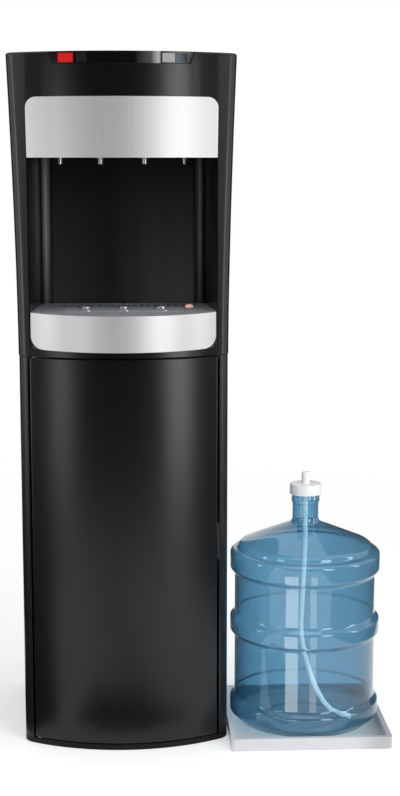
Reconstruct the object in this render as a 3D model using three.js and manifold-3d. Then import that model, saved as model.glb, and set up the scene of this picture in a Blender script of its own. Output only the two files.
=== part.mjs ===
// Bottom load water cooler with its bottle standing on a loose tray beside it.
// Millimetres, +Z up. The front faces -Y. The origin is the middle of the base's underside.
import * as THREE from "three";
import { mergeVertices } from "three/addons/utils/BufferGeometryUtils.js";
import Module from "manifold-3d";

const wasm = await Module();
wasm.setup();

// How far an arc of this radius bulges over a chord of this half length.
const bulge = (radius, half) => radius - Math.sqrt(radius * radius - half * half);

// ---------- driving dimensions ----------

const GAP = 0.3; // between pieces that rest on each other
const OVER = 1; // how far cutters and joined shapes run past a face
const HEIGHT = 1110;
const FRONT_Y = -175; // front-most line of the bowed front
const REAR_Y = 165; // outside of the rear panel
const BODY_HALF = 166.5; // half width of the lower cabinet
const BOW_RADIUS = 300;
const CORNER_RADIUS = 26;
const BOW_STEPS = 8; // along half of the bow
const CORNER_STEPS = 5;

const BASE_HEIGHT = 9;
const BASE_RIB_HEIGHT = 22;
const BASE_RIB_WALL = 3;
const SEAT_RISE = 1.5; // the bottle's seat in the bay, above the base
const SEAT_MARGIN = 30; // from the seat to the base's ribs
const SEAT_CORNER = 12;

const SHEET = 1.2; // steel side, rear and shelf sheets
const SIDE_FLANGE = 14;
const SEAM_Z = 639; // where the lower cabinet ends and the head begins
const SEAM_GAP = 0.8;

const DOOR_FRAME = 17; // from the cabinet's side to the door's edge
const DOOR_HALF = BODY_HALF - DOOR_FRAME;
const DOOR_SIDE_GAP = 2.5;
const DOOR_END_GAP = 1.6;
const DOOR_SKIN = 2.5;
const DOOR_LINER = 12;
const DOOR_RIB_HEIGHT = 4;
const DOOR_RIB_WIDTH = 8;
const DOOR_RIBS = 5;
const HINGE_INSET = 9; // from the door's edge to its hinge axis
const HINGE_DEPTH = 7; // from the door's outer face to its hinge axis
const HINGE_PIN_RADIUS = 2.5;
const HINGE_WASHER_RADIUS = 5;
const HINGE_PIN_LENGTH = 12; // inside the door
const HINGE_CLEARANCE = 0.4;
const HINGE_ARM = 28;
const CATCH_Z = 330; // the magnet's middle
const CATCH_LENGTH = 60;
const CATCH_WIDTH = 12;
const CATCH_FOOT = 26;
const CATCH_EDGE = 6; // from the door liner's edge
const CATCH_CLEARANCE = 1;
const STRIKE_SHEET = 1.5;

const HEAD_WALL = 3;
const HEAD_OVERHANG = 1; // over the lower cabinet's side
const HEAD_FOOT_HALF = BODY_HALF + HEAD_OVERHANG;
const HEAD_FLARE = 12.9; // how much wider each side is at the top than at the seam
const FLARE_POWER = 1.6;
const HEAD_LEVELS = 6;
const RIM_RADIUS = 4;
const RIM_STEPS = 3;
const FASCIA_FLANK = 8.6; // from the head's rounded corner back to the covers' seam
const FASCIA_REAR_Y = flankY(HEAD_FOOT_HALF + HEAD_FLARE) + FASCIA_FLANK;
const COVER_FLANGE = 22;
const LID_SHEET = 3;

const ALCOVE_FRAME = 20.5; // from the head's side to the alcove's front edge
const ALCOVE_FRONT_HALF = HEAD_FOOT_HALF - ALCOVE_FRAME;

const TRIM_DROP = 68; // from the top
const TRIM_HEIGHT = 92.5;
const TRIM_TOP_Z = HEIGHT - TRIM_DROP;
const TRIM_BOTTOM_Z = TRIM_TOP_Z - TRIM_HEIGHT;
const TRIM_LAP = 1.4; // past the alcove's edge
const TRIM_FLARE = 1.1; // how much wider each side is at its top
const TRIM_BOTTOM_HALF = ALCOVE_FRONT_HALF + TRIM_LAP;
const TRIM_TOP_HALF = TRIM_BOTTOM_HALF + TRIM_FLARE;
const TRIM_CORNER = 14;
const TRIM_SHEET = 1.2;

const DISPLAY_HEIGHT = 19;
const DISPLAY_BOTTOM_Z = HEIGHT - DISPLAY_HEIGHT;
const DISPLAY_TOP_HALF = 113.5;
const DISPLAY_BOTTOM_HALF = 105.5;
const DISPLAY_SETBACK = 0.6;
const WINDOW_BORDER = 1.6;
const WINDOW_SHEET = 1.2;
const WINDOWS = [
  { name: "hot_window", middle: -85.5, width: 23, color: 0xd5141a },
  { name: "heating_window", middle: -61, width: 16, color: 0x141516 },
  { name: "cold_window", middle: 71.5, width: 19, color: 0x9d9da0 },
  { name: "cooling_window", middle: 92, width: 17, color: 0x101822 },
];

const ALCOVE_RISE = 1; // above the trim plate's lower edge
const ALCOVE_TOP_Z = TRIM_BOTTOM_Z + ALCOVE_RISE;
const ALCOVE_TAPER = 11; // how much narrower each side is at the rear
const ALCOVE_REAR_HALF = ALCOVE_FRONT_HALF - ALCOVE_TAPER;
const ALCOVE_REAR_Y = 21;
const ALCOVE_COVE = 14;
const ALCOVE_WALL = 2;
const GROOVE_WIDTH = 2.4;
const GROOVE_LAND = 2.6; // from the cove to the groove
const BACK_PANEL_HALF = ALCOVE_REAR_HALF - ALCOVE_COVE - GROOVE_LAND - GROOVE_WIDTH;
const BACK_PANEL_SHEET = 2.5;
const CEILING_SHEET = 2.5;

const SPOUT_INNER_X = 36;
const SPOUT_OUTER_X = 102;
const SPOUT_RADIUS = 5.2;
const SPOUT_BORE = 3.5;
const SPOUT_DROP = 12;
const SPOUT_FLANGE = 8;
const SPOUT_FLANGE_SHEET = 2;
const SPOUT_STUB = 9; // above the ceiling

const DECK_Z = 708.5; // top of the deck
const DECK_SHEET = 3;
const BASIN_BOTTOM_Z = 652;
const BASIN_HALF = ALCOVE_FRONT_HALF - 2 * GAP;
const BASIN_BOW_RADIUS = 190;
const BASIN_END_DEPTH = 0.75; // from the fascia's face back to the basin front's ends
const BASIN_FRONT_Y =
  FRONT_Y + bulge(BOW_RADIUS, BASIN_HALF) + BASIN_END_DEPTH - bulge(BASIN_BOW_RADIUS, BASIN_HALF);
const BASIN_SHEET = 2;
const BASIN_CORNER = 20;
const BASIN_WALL = 2.5;

const PLATE_HALF = 96; // control plate
const PLATE_FRONT_Y = -132;
const PLATE_REAR_Y = -64;
const PLATE_SHEET = 1.5;
const PLATE_RECESS = 1.5;
const BUTTON_SPACING = 61;
const BUTTON_Y = -78;
const BUTTON_RADIUS = 10.5;
const BUTTON_SHOULDER = 2.8; // how far the rim stands above the plate
const BUTTON_DOME = 3.2;
const BUTTON_SKIRT = 7;
const BUTTON_STEM = 3;
const BUTTON_TRAVEL = 2.5;
const BUTTON_CLEARANCE = 0.4;
const DOT_RADIUS = 1.7;
const DOT_Y = -121;
const DOT_OFFSET = 6;
const DOT_RISE = 0.4;
const SAFETY_X = 107;
const SAFETY_Y = -57;
const SAFETY_RADIUS = 6.2;
const SAFETY_TRAVEL = 2;
const BOARD_SHEET = 1.6;
const BOARD_MARGIN = 9;
const SWITCH_SIZE = 12;
const SWITCH_HEIGHT = 6;
const STANDOFF_RADIUS = 3;

const TRAY_MARGIN = 4; // from the back panel's edge to the drip tray's side
const TRAY_HALF = BACK_PANEL_HALF - TRAY_MARGIN;
const TRAY_FRONT_Y = -44;
const TRAY_REAR_Y = 14;
const TRAY_FLOOR = 1.8;
const TRAY_WALL = 1.8;
const TRAY_LEDGE = 2.4;
const GRILLE_SHEET = 2;
const GRILLE_SLOTS = 18;
const GRILLE_SLOT = 5;
const GRILLE_BORDER = 7;

const SHELF_Z = 630; // top of the machine shelf
const SHELF_FLANGE = 14;
const INLET_X = -30; // feed tube from the bay
const INLET_Y = 60;

const LOUVRES = 8;
const LOUVRE_PITCH = 13;
const LOUVRE_HEIGHT = 4;
const LOUVRE_LENGTH = 105;
const LOUVRE_BOTTOM_Z = 652;
const LOUVRE_X = 78;

const COMPRESSOR_RADIUS = 56;
const COMPRESSOR_ROOM = 10.5; // from the cabinet's side
const COMPRESSOR_X = BODY_HALF - COMPRESSOR_ROOM - COMPRESSOR_RADIUS;
const COMPRESSOR_Y = 92;
const COMPRESSOR_HEIGHT = 148;
const COMPRESSOR_WALL = 4;
const COMPRESSOR_OPENING = 20;
const COMPRESSOR_CROWN = 0.6; // share of the radius where the dome levels out
const COMPRESSOR_SHOULDER = 0.9; // share of the radius and the height
const COMPRESSOR_BEVEL = 0.2; // share of the radius and the height at each end
const MOUNT_SHEET = 3;
const GROMMET_RADIUS = 9;
const GROMMET_HEIGHT = 8;

const CONDENSER_RUNS = 8;
const CONDENSER_PITCH = 30;
const CONDENSER_INSET = 38.5; // from the cabinet's side to where the runs bend
const CONDENSER_HALF = BODY_HALF - CONDENSER_INSET;
const CONDENSER_DROP = 296; // from the top to the lowest run
const CONDENSER_BOTTOM_Z = HEIGHT - CONDENSER_DROP;
const CONDENSER_TUBE = 2.6;
const CONDENSER_BEND_STEPS = 6;
const CONDENSER_Y = 177; // middle of the tube
const STRAP_WIDTH = 12;
const STRAP_X = 95;
const LINE_RADIUS = 3;

const HOT_TANK_X = -95;
const HOT_TANK_Y = 92;
const HOT_TANK_RADIUS = 44;
const HOT_TANK_HEIGHT = 150;
const HOT_TANK_LEGS = 52;
const HOT_TANK_STANCE = 26; // from the tank's middle to each leg
const TANK_WALL = 1.5;
const TANK_END = 0.85; // share of the radius that is flat at each end
const TANK_BEVEL = 0.08; // share of the height at each end
const TANK_PORT = 4;
const DRAIN_RADIUS = 7;
const DRAIN_Z = 676;
const DRAIN_REACH = 10; // outside the rear panel
const DRAIN_CAP_WALL = 3;

const TANK_SHELF_RISE = 6; // above the alcove
const TANK_SHELF_Z = ALCOVE_TOP_Z + TANK_SHELF_RISE;
const TANK_SHELF_FRONT_Y = 45;
const FOAM_ROOM = 71.5; // beside it, for the control board and the switches
const FOAM_HALF = BODY_HALF - FOAM_ROOM;
const FOAM_HEIGHT = 124;
const FOAM_DEPTH = 112;
const FOAM_FLOOR = 10;
const COLD_TANK_RADIUS = 46;
const COLD_TANK_HEIGHT = 102;

const MANIFOLD_HEIGHT = 22;
const MANIFOLD_DEPTH = 24;
const MANIFOLD_END = 14;
const COIL_RADIUS = 10;
const COIL_HEIGHT = 32;

const PUMP_MOTOR = 22;
const PUMP_LENGTH = 66;
const PUMP_HEAD = 26;
const TUBE_RADIUS = 4;

const CONTROL_BOARD_ROOM = 27; // from the foam
const CONTROL_BOARD_X = FOAM_HALF + CONTROL_BOARD_ROOM;
const CONTROL_BOARD_LENGTH = 84;
const CONTROL_BOARD_HEIGHT = 76;

const SWITCH_DROP = 38; // from the top
const SWITCH_Z = HEIGHT - SWITCH_DROP;
const SWITCH_INSET = 28.5; // from the cabinet's side to the outer switch
const SWITCH_PITCH = 30;
const SWITCH_XS = {
  hot_switch: SWITCH_INSET - BODY_HALF,
  cold_switch: SWITCH_INSET - BODY_HALF + SWITCH_PITCH,
};
const ROCKER_HALF = 7;
const ROCKER_HEIGHT = 22;
const ROCKER_DEPTH = 9;
const ROCKER_CLEARANCE = 1.4;

const POWER_INSET = 48.5; // from the cabinet's side
const POWER_X = POWER_INSET - BODY_HALF;
const POWER_Z = 778;
const POWER_HALF = 22;
const POWER_RISE = 11;
const POWER_DEPTH = 18;
const POWER_WALL = 2.5;
const POWER_FLANGE = 5;
const POWER_PIN = 1.6;
const POWER_PIN_X = 8;

const BOTTLE_RADIUS = 125; // over its rings
const BOTTLE_BODY_RADIUS = 117.5;
const BOTTLE_BASE_RADIUS = 78;
const BOTTLE_WALL = 2;
const BOTTLE_NECK_RADIUS = 21.7;
const BOTTLE_BEAD = 1.9;
const BOTTLE_EDGE = 3; // how far each ring, foot and bead is rounded
const BOTTLE_SHOULDER_RADIUS = 107;
const BOTTLE_RINGS = [
  { bottom: 17, top: 45 },
  { bottom: 157, top: 186 },
  { bottom: 263, top: 296 },
];
const BOTTLE_SHOULDER_Z = 309;
const BOTTLE_NECK_Z = 346;
const BOTTLE_MOUTH_Z = 398;
const BOTTLE_STEPS = 24;
const CAP_RADIUS = 26.3;
const CAP_HEIGHT = 17.5;
const CAP_TOP = 10; // above the bottle's mouth
const CAP_BEVEL = 1;
const STUB_RADIUS = 6.7;
const STUB_HEIGHT = 19;
const DIP_RADIUS = 4;
const DIP_CURVE = [
  // across and back as shares of the base's radius, and height as a share of the mouth's
  [0, 0, 1],
  [0, 0, 0.75],
  [-0.05, 0, 0.5],
  [-0.064, -0.026, 0.38],
  [0.026, -0.1, 0.28],
  [0.2, -0.23, 0.17],
  [0.51, -0.385, 0.07],
  [0.974, -0.54, 0.04],
];

const BOTTLE_TRAY_SIZE = 262;
const BOTTLE_TRAY_HEIGHT = 20;
const BOTTLE_TRAY_FLOOR = 6;
const BOTTLE_TRAY_RIM = 8;
const BOTTLE_TRAY_CORNER = 7;
const BOTTLE_TRAY_SIDE_GAP = 3; // from the cabinet's side
const BOTTLE_TRAY_FRONT_Y = -190;

// ---------- geometry helpers ----------

const at = (x, y) => new THREE.Vector2(x, y);

// A solid from stacked outlines of equal length, each wound anticlockwise seen from above.
function loft(levels) {
  const count = levels[0].ring.length;
  const position = levels.flatMap(({ z, ring }) => ring.flatMap((p) => [p.x, p.y, z]));
  const index = [];
  for (let k = 0; k < levels.length - 1; k++) {
    for (let i = 0; i < count; i++) {
      const a = k * count + i;
      const b = k * count + ((i + 1) % count);
      index.push(a, b, b + count, a, b + count, a + count);
    }
  }
  const top = (levels.length - 1) * count;
  const floor = THREE.ShapeUtils.triangulateShape(levels[0].ring, []);
  const roof = THREE.ShapeUtils.triangulateShape(levels.at(-1).ring, []);
  floor.forEach(([a, b, c]) => index.push(a, c, b));
  roof.forEach(([a, b, c]) => index.push(top + a, top + b, top + c));
  const geometry = new THREE.BufferGeometry();
  geometry.setAttribute("position", new THREE.Float32BufferAttribute(position, 3));
  geometry.setIndex(index);
  return geometry;
}

const slab = (ring, z0, z1) => loft([{ z: z0, ring }, { z: z1, ring }]);

// An outline in X and Z, run through from y0 to y1.
function through(ring, y0, y1) {
  const geometry = slab(ring, -y1, -y0);
  geometry.rotateX(Math.PI / 2);
  return geometry;
}

const block = (x0, x1, y0, y1, z0, z1) =>
  slab([at(x0, y0), at(x1, y0), at(x1, y1), at(x0, y1)], z0, z1);

function post(x, y, z0, z1, radius, steps = 14) {
  const geometry = new THREE.CylinderGeometry(radius, radius, z1 - z0, steps);
  geometry.rotateX(Math.PI / 2);
  geometry.translate(x, y, (z0 + z1) / 2);
  return geometry;
}

// A round hole's cutter, whose flats lie on the radius.
const bore = (x, y, z0, z1, radius, steps = 14) =>
  post(x, y, z0, z1, radius / Math.cos(Math.PI / steps), steps);

// A cylinder along Y.
function peg(x, z, y0, y1, radius, steps = 16) {
  const geometry = new THREE.CylinderGeometry(radius, radius, y1 - y0, steps);
  geometry.translate(x, (y0 + y1) / 2, z);
  return geometry;
}

// A profile of radius and height turned about Z.
function turned(profile, steps = 18) {
  const geometry = new THREE.LatheGeometry(profile, steps);
  geometry.rotateX(Math.PI / 2);
  return geometry;
}

// A tube of constant radius through the points, with flat ends.
function tube(points, radius, steps, sides = 8) {
  const circle = Array.from({ length: sides }, (_, i) => {
    const turn = (i / sides) * 2 * Math.PI;
    return at(radius * Math.cos(turn), radius * Math.sin(turn));
  });
  const path = new THREE.CatmullRomCurve3(
    points.map((p) => new THREE.Vector3(...p)),
    false,
    "centripetal",
  );
  return new THREE.ExtrudeGeometry(new THREE.Shape(circle), {
    extrudePath: path,
    steps,
    bevelEnabled: false,
  });
}

function solid(geometry) {
  const bare = new THREE.BufferGeometry();
  bare.setAttribute("position", geometry.getAttribute("position").clone());
  if (geometry.index) bare.setIndex(geometry.index.clone());
  const merged = mergeVertices(bare, 1e-4);
  return new wasm.Manifold(
    new wasm.Mesh({
      numProp: 3,
      vertProperties: merged.getAttribute("position").array,
      triVerts: new Uint32Array(merged.index.array),
    }),
  );
}

function geometryOf(manifold) {
  const mesh = manifold.getMesh();
  const geometry = new THREE.BufferGeometry();
  geometry.setAttribute("position", new THREE.BufferAttribute(mesh.vertProperties, 3));
  geometry.setIndex(new THREE.BufferAttribute(mesh.triVerts, 1));
  return geometry;
}

const join = (first, ...rest) => geometryOf(rest.reduce((a, b) => a.add(solid(b)), solid(first)));
const cut = (first, ...rest) =>
  geometryOf(rest.reduce((a, b) => a.subtract(solid(b)), solid(first)));
const common = (first, second) => geometryOf(solid(first).intersect(solid(second)));

// ---------- outlines shared by the pieces ----------

const bowY = (x, radius = BOW_RADIUS, front = FRONT_Y) => front + bulge(radius, x);

// Where the rounded front corner ends and the straight flank begins.
function flankY(halfWidth) {
  const side = halfWidth - CORNER_RADIUS;
  const arm = BOW_RADIUS - CORNER_RADIUS;
  return FRONT_Y + BOW_RADIUS - Math.sqrt(arm * arm - side * side);
}

// Right half of the front, from x on the bow round the corner to the flank, drawn in by inset.
function rightFront(halfWidth, inset, fromX = 0) {
  const side = halfWidth - CORNER_RADIUS;
  const arm = BOW_RADIUS - CORNER_RADIUS;
  const bowAxis = FRONT_Y + BOW_RADIUS;
  const cornerY = flankY(halfWidth);
  const meeting = Math.asin(side / arm);
  const start = Math.asin(fromX / (BOW_RADIUS - inset));
  const steps = Math.max(2, Math.round((BOW_STEPS * (meeting - start)) / meeting));
  const points = [];
  for (let i = 0; i <= steps; i++) {
    const turn = start + ((meeting - start) * i) / steps;
    const reach = BOW_RADIUS - inset;
    points.push(at(reach * Math.sin(turn), bowAxis - reach * Math.cos(turn)));
  }
  for (let i = 1; i <= CORNER_STEPS; i++) {
    const turn = meeting + ((Math.PI / 2 - meeting) * i) / CORNER_STEPS;
    const reach = CORNER_RADIUS - inset;
    points.push(at(side + reach * Math.sin(turn), cornerY - reach * Math.cos(turn)));
  }
  return points;
}

const mirrored = (points) => points.map((p) => at(-p.x, p.y)).reverse();

// The whole front and both flanks back to rearY, anticlockwise.
function front(halfWidth, inset, rearY) {
  const right = rightFront(halfWidth, inset);
  const flank = at(halfWidth - inset, rearY);
  return [...mirrored([flank]), ...mirrored(right.slice(1)), ...right, flank];
}

// An arc about the bow's own axis, from -half to +half.
function bowArc(half, radius, axisY, steps) {
  const reach = Math.asin(half / radius);
  return Array.from({ length: steps + 1 }, (_, i) => {
    const turn = -reach + (2 * reach * i) / steps;
    return at(radius * Math.sin(turn), axisY - radius * Math.cos(turn));
  });
}

// A curved sheet whose outer face has this bow radius and front line.
function bowSheet(half, thickness, z0, z1, radius = BOW_RADIUS, frontY = FRONT_Y) {
  const axisY = frontY + radius;
  const outer = bowArc(half, radius, axisY, 2 * BOW_STEPS);
  const inner = bowArc(half, radius - thickness, axisY, 2 * BOW_STEPS).reverse();
  return slab([...outer, ...inner], z0, z1);
}

function roundedRing(corners) {
  const ring = [];
  corners.forEach(({ x, y, radius, from }) => {
    const steps = radius > 0 ? CORNER_STEPS : 0;
    for (let i = 0; i <= steps; i++) {
      const turn = from + (steps ? (i / steps) * (Math.PI / 2) : 0);
      ring.push(at(x + radius * Math.cos(turn), y + radius * Math.sin(turn)));
    }
  });
  return ring;
}

// A rectangle in any plane with its four corners rounded.
function roundedRectangle(x0, x1, y0, y1, radius) {
  return roundedRing([
    { x: x0 + radius, y: y0 + radius, radius, from: Math.PI },
    { x: x1 - radius, y: y0 + radius, radius, from: 1.5 * Math.PI },
    { x: x1 - radius, y: y1 - radius, radius, from: 0 },
    { x: x0 + radius, y: y1 - radius, radius, from: 0.5 * Math.PI },
  ]);
}

// A plate that follows the front's bow, cut to an outline in X and Z. Its outer face stands out
// from the bow by out, and its inner face lies behind the bow by depth.
function bowPlate(ring, out, depth) {
  const half = Math.max(...ring.map((p) => Math.abs(p.x))) + OVER;
  const z0 = Math.min(...ring.map((p) => p.y)) - OVER;
  const z1 = Math.max(...ring.map((p) => p.y)) + OVER;
  const sheet = bowSheet(half, out + depth, z0, z1, BOW_RADIUS + out, FRONT_Y - out);
  return common(sheet, through(ring, 2 * FRONT_Y, 0));
}

// ---------- the assembly ----------

const cooler = new THREE.Group();

function piece(name, geometry, color, roughness, metalness = 0) {
  const material = new THREE.MeshStandardMaterial({ color, roughness, metalness });
  const mesh = new THREE.Mesh(geometry, material);
  mesh.name = name;
  cooler.add(mesh);
}

const BLACK = 0x1c1d1f;
const GLOSS_BLACK = 0x0b0b0c;
const BRUSHED = 0xc9cacb;
const DECK_GREY = 0x6b7075;
const GALVANISED = 0x9da1a5;
const STAINLESS = 0xb8bbbe;
const WHITE = 0xf0f1f1;

// A block mirrored to the left when side is -1.
const sided = (side, x0, x1, ...rest) =>
  side > 0 ? block(x0, x1, ...rest) : block(-x1, -x0, ...rest);

const rearInside = REAR_Y - SHEET - GAP; // behind which the rear panel lies
const wallInside = BODY_HALF - SHEET - GAP;

// ---------- lower cabinet ----------

function basePan() {
  const ribs = [-1, 1].map((side) =>
    sided(side, wallInside - BASE_RIB_WALL, wallInside, flankY(BODY_HALF) + 2 * GAP,
      rearInside - 2 * SHEET, BASE_HEIGHT / 2, BASE_HEIGHT + BASE_RIB_HEIGHT),
  );
  const half = wallInside - BASE_RIB_WALL - SEAT_MARGIN;
  const seat = roundedRectangle(-half, half, flankY(BODY_HALF) + SEAT_MARGIN / 2,
    rearInside - SEAT_MARGIN, SEAT_CORNER);
  return join(
    slab(front(BODY_HALF, 0, REAR_Y), 0, BASE_HEIGHT),
    slab(seat, BASE_HEIGHT / 2, BASE_HEIGHT + SEAT_RISE),
    ...ribs,
  );
}

// The right side panel: a flange beside the door, the rounded corner, the flank and a rear flange.
function sidePanelRing() {
  const fromX = DOOR_HALF + DOOR_SIDE_GAP;
  const flangeX = BODY_HALF - SIDE_FLANGE;
  return [
    ...rightFront(BODY_HALF, 0, fromX),
    at(BODY_HALF, rearInside),
    at(flangeX, rearInside),
    at(flangeX, rearInside - SHEET),
    at(BODY_HALF - SHEET, rearInside - SHEET),
    ...rightFront(BODY_HALF, SHEET, fromX).reverse(),
  ];
}

function rearPanel() {
  const y0 = REAR_Y - SHEET;
  const half = BODY_HALF - SHEET;
  const cuts = rearHoles();
  for (let row = 0; row < LOUVRES; row++) {
    const z = LOUVRE_BOTTOM_Z + row * LOUVRE_PITCH;
    [-LOUVRE_X, LOUVRE_X].forEach((x) => {
      const reach = LOUVRE_LENGTH / 2;
      cuts.push(block(x - reach, x + reach, y0 - OVER, REAR_Y + OVER, z, z + LOUVRE_HEIGHT));
    });
  }
  return cut(block(-half, half, y0, REAR_Y, BASE_HEIGHT + GAP, lidBottomZ - GAP), ...cuts);
}

// Where the switches, the inlet, the drain and the condenser's two tails pass the rear panel.
function rearHoles() {
  const y0 = REAR_Y - SHEET - OVER;
  const y1 = REAR_Y + OVER;
  const holes = Object.values(SWITCH_XS).map((x) =>
    block(x - ROCKER_HALF - GAP, x + ROCKER_HALF + GAP, y0, y1,
      SWITCH_Z - ROCKER_HEIGHT / 2 - ROCKER_CLEARANCE,
      SWITCH_Z + ROCKER_HEIGHT / 2 + ROCKER_CLEARANCE),
  );
  holes.push(
    block(POWER_X - POWER_HALF - GAP, POWER_X + POWER_HALF + GAP, y0, y1,
      POWER_Z - POWER_RISE - GAP, POWER_Z + POWER_RISE + GAP),
    peg(HOT_TANK_X, DRAIN_Z, y0, y1, DRAIN_RADIUS + GAP),
    ...condenserTails().map(([x, z]) => peg(x, z, y0, y1, LINE_RADIUS + GAP)),
  );
  return holes;
}

function machineShelf() {
  const y0 = shelfFrontY;
  const plate = block(-wallInside, wallInside, y0, rearInside - 2 * SHEET, SHELF_Z - SHEET, SHELF_Z);
  const flanges = [-1, 1].map((side) =>
    sided(side, wallInside - SHEET, wallInside, y0, rearInside - 2 * SHEET, SHELF_Z - SHELF_FLANGE,
      SHELF_Z),
  );
  const lip = block(-wallInside, wallInside, y0, y0 + SHEET, SHELF_Z - SHEET, doorTopZ);
  const inlet = bore(INLET_X, INLET_Y, SHELF_Z - 2 * SHEET, SHELF_Z + OVER, TUBE_RADIUS + 2 * GAP);
  return cut(join(plate, ...flanges, lip), inlet);
}

function addCabinet() {
  const side = sidePanelRing();
  const z0 = BASE_HEIGHT + GAP;
  piece("base_pan", basePan(), BLACK, 0.6);
  piece("right_side_panel", slab(side, z0, SEAM_Z), BLACK, 0.45, 0.3);
  piece("left_side_panel", slab(mirrored(side), z0, SEAM_Z), BLACK, 0.45, 0.3);
  piece("rear_panel", rearPanel(), BLACK, 0.5, 0.3);
  piece("machine_shelf", machineShelf(), GALVANISED, 0.45, 1);
}

// ---------- door ----------

const doorBottomZ = BASE_HEIGHT + DOOR_END_GAP;
const doorTopZ = SEAM_Z - DOOR_END_GAP;
const hingeX = HINGE_INSET - DOOR_HALF;
const hingeY = bowY(hingeX) + HINGE_DEPTH;
const shelfFrontY = flankY(BODY_HALF) + 2 * GAP;
const linerInset = DOOR_SKIN + GAP;
const strikeX = DOOR_HALF - linerInset - CATCH_EDGE;
const linerBackY = bowY(strikeX - CATCH_WIDTH, BOW_RADIUS - linerInset - DOOR_LINER,
  FRONT_Y + linerInset + DOOR_LINER);
const strikeBackY = linerBackY - STRIKE_SHEET;

function doorSkin() {
  const z0 = doorBottomZ;
  const z1 = doorTopZ;
  const body = bowSheet(DOOR_HALF, DOOR_SKIN + DOOR_LINER, z0, z1);
  const hollow = bowSheet(DOOR_HALF - DOOR_SKIN, 2 * DOOR_LINER, z0 - OVER, z1 + OVER,
    BOW_RADIUS - DOOR_SKIN, FRONT_Y + DOOR_SKIN);
  return cut(body, hollow);
}

function doorLiner() {
  const half = DOOR_HALF - linerInset;
  const radius = BOW_RADIUS - linerInset;
  const frontY = FRONT_Y + linerInset;
  const body = bowSheet(half, DOOR_LINER, doorBottomZ, doorTopZ, radius, frontY);
  const pitch = (doorTopZ - doorBottomZ) / DOOR_RIBS;
  const ribs = Array.from({ length: DOOR_RIBS }, (_, i) => {
    const z = doorBottomZ + pitch * (i + 0.5) - DOOR_RIB_WIDTH / 2;
    const reach = Math.min(half - 2 * HINGE_INSET, strikeX - CATCH_WIDTH - 2 * CATCH_CLEARANCE);
    const middle = DOOR_LINER / 2;
    return bowSheet(reach, middle + DOOR_RIB_HEIGHT, z, z + DOOR_RIB_WIDTH, radius - middle,
      frontY + middle);
  });
  const hole = HINGE_PIN_RADIUS + HINGE_CLEARANCE;
  const depth = HINGE_PIN_LENGTH + GAP;
  const pocketBottom = strikeBackY - STRIKE_SHEET - GAP;
  const pocket = block(strikeX - CATCH_WIDTH - CATCH_CLEARANCE, strikeX + CATCH_CLEARANCE,
    pocketBottom, pocketBottom + 2 * DOOR_LINER, CATCH_Z - CATCH_LENGTH / 2 - CATCH_CLEARANCE,
    CATCH_Z + CATCH_LENGTH / 2 + CATCH_CLEARANCE);
  return cut(
    join(body, ...ribs),
    bore(hingeX, hingeY, doorBottomZ - OVER, doorBottomZ + depth, hole),
    bore(hingeX, hingeY, doorTopZ - depth, doorTopZ + OVER, hole),
    pocket,
  );
}

function doorCatch() {
  const y0 = strikeBackY + 2 * GAP;
  const armY = shelfFrontY;
  const z0 = CATCH_Z - CATCH_LENGTH / 2;
  const z1 = CATCH_Z + CATCH_LENGTH / 2;
  return join(
    block(strikeX - CATCH_WIDTH, strikeX, y0, armY + SHEET, z0, z1),
    block(strikeX - CATCH_WIDTH, wallInside, armY, armY + 2 * SHEET, z0, z1),
    block(wallInside - SHEET, wallInside, armY, armY + CATCH_FOOT, z0, z1),
  );
}

function lowerPin() {
  const z0 = BASE_HEIGHT + GAP;
  return join(
    post(hingeX, hingeY, z0, doorBottomZ + HINGE_PIN_LENGTH, HINGE_PIN_RADIUS),
    post(hingeX, hingeY, z0, doorBottomZ - GAP, HINGE_WASHER_RADIUS),
  );
}

function upperPin() {
  const z0 = doorTopZ + GAP;
  const z1 = SEAM_Z - GAP;
  return join(
    post(hingeX, hingeY, doorTopZ - HINGE_PIN_LENGTH, z1, HINGE_PIN_RADIUS),
    block(hingeX - HINGE_WASHER_RADIUS, hingeX + HINGE_ARM, hingeY - HINGE_WASHER_RADIUS,
      shelfFrontY + SHELF_FLANGE, z0, z1),
  );
}

function addDoor() {
  piece("door_skin", doorSkin(), BLACK, 0.42);
  piece("door_liner", doorLiner(), 0x2b2c2e, 0.6);
  piece("door_strike", block(strikeX - CATCH_WIDTH, strikeX, strikeBackY - STRIKE_SHEET, strikeBackY,
    CATCH_Z - CATCH_LENGTH / 2, CATCH_Z + CATCH_LENGTH / 2), GALVANISED, 0.35, 1);
  piece("door_catch", doorCatch(), GALVANISED, 0.4, 1);
  piece("hinge_pin_lower", lowerPin(), GALVANISED, 0.35, 1);
  piece("hinge_pin_upper", upperPin(), GALVANISED, 0.35, 1);
}

// ---------- head shell ----------

const headFootZ = SEAM_Z + SEAM_GAP;
const lidTopZ = HEIGHT - GAP;
const lidBottomZ = lidTopZ - LID_SHEET;
const lidInset = RIM_RADIUS + HEAD_WALL + GAP;

const headHalf = (z) =>
  HEAD_FOOT_HALF + HEAD_FLARE * ((Math.max(z, SEAM_Z) - SEAM_Z) / (HEIGHT - SEAM_Z)) ** FLARE_POWER;

// Heights of the head's outlines, with how far the rounded rim draws each one in.
function headLevels(top) {
  const shoulder = HEIGHT - RIM_RADIUS;
  const levels = Array.from({ length: HEAD_LEVELS + 1 }, (_, i) => ({
    z: headFootZ + ((Math.min(top, shoulder) - headFootZ) * i) / HEAD_LEVELS,
    inset: 0,
  }));
  for (let i = 1; i <= RIM_STEPS && top > shoulder; i++) {
    const turn = ((Math.PI / 2) * i) / RIM_STEPS;
    levels.push({
      z: shoulder + RIM_RADIUS * Math.sin(turn),
      inset: RIM_RADIUS * (1 - Math.cos(turn)),
    });
  }
  return levels;
}

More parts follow.
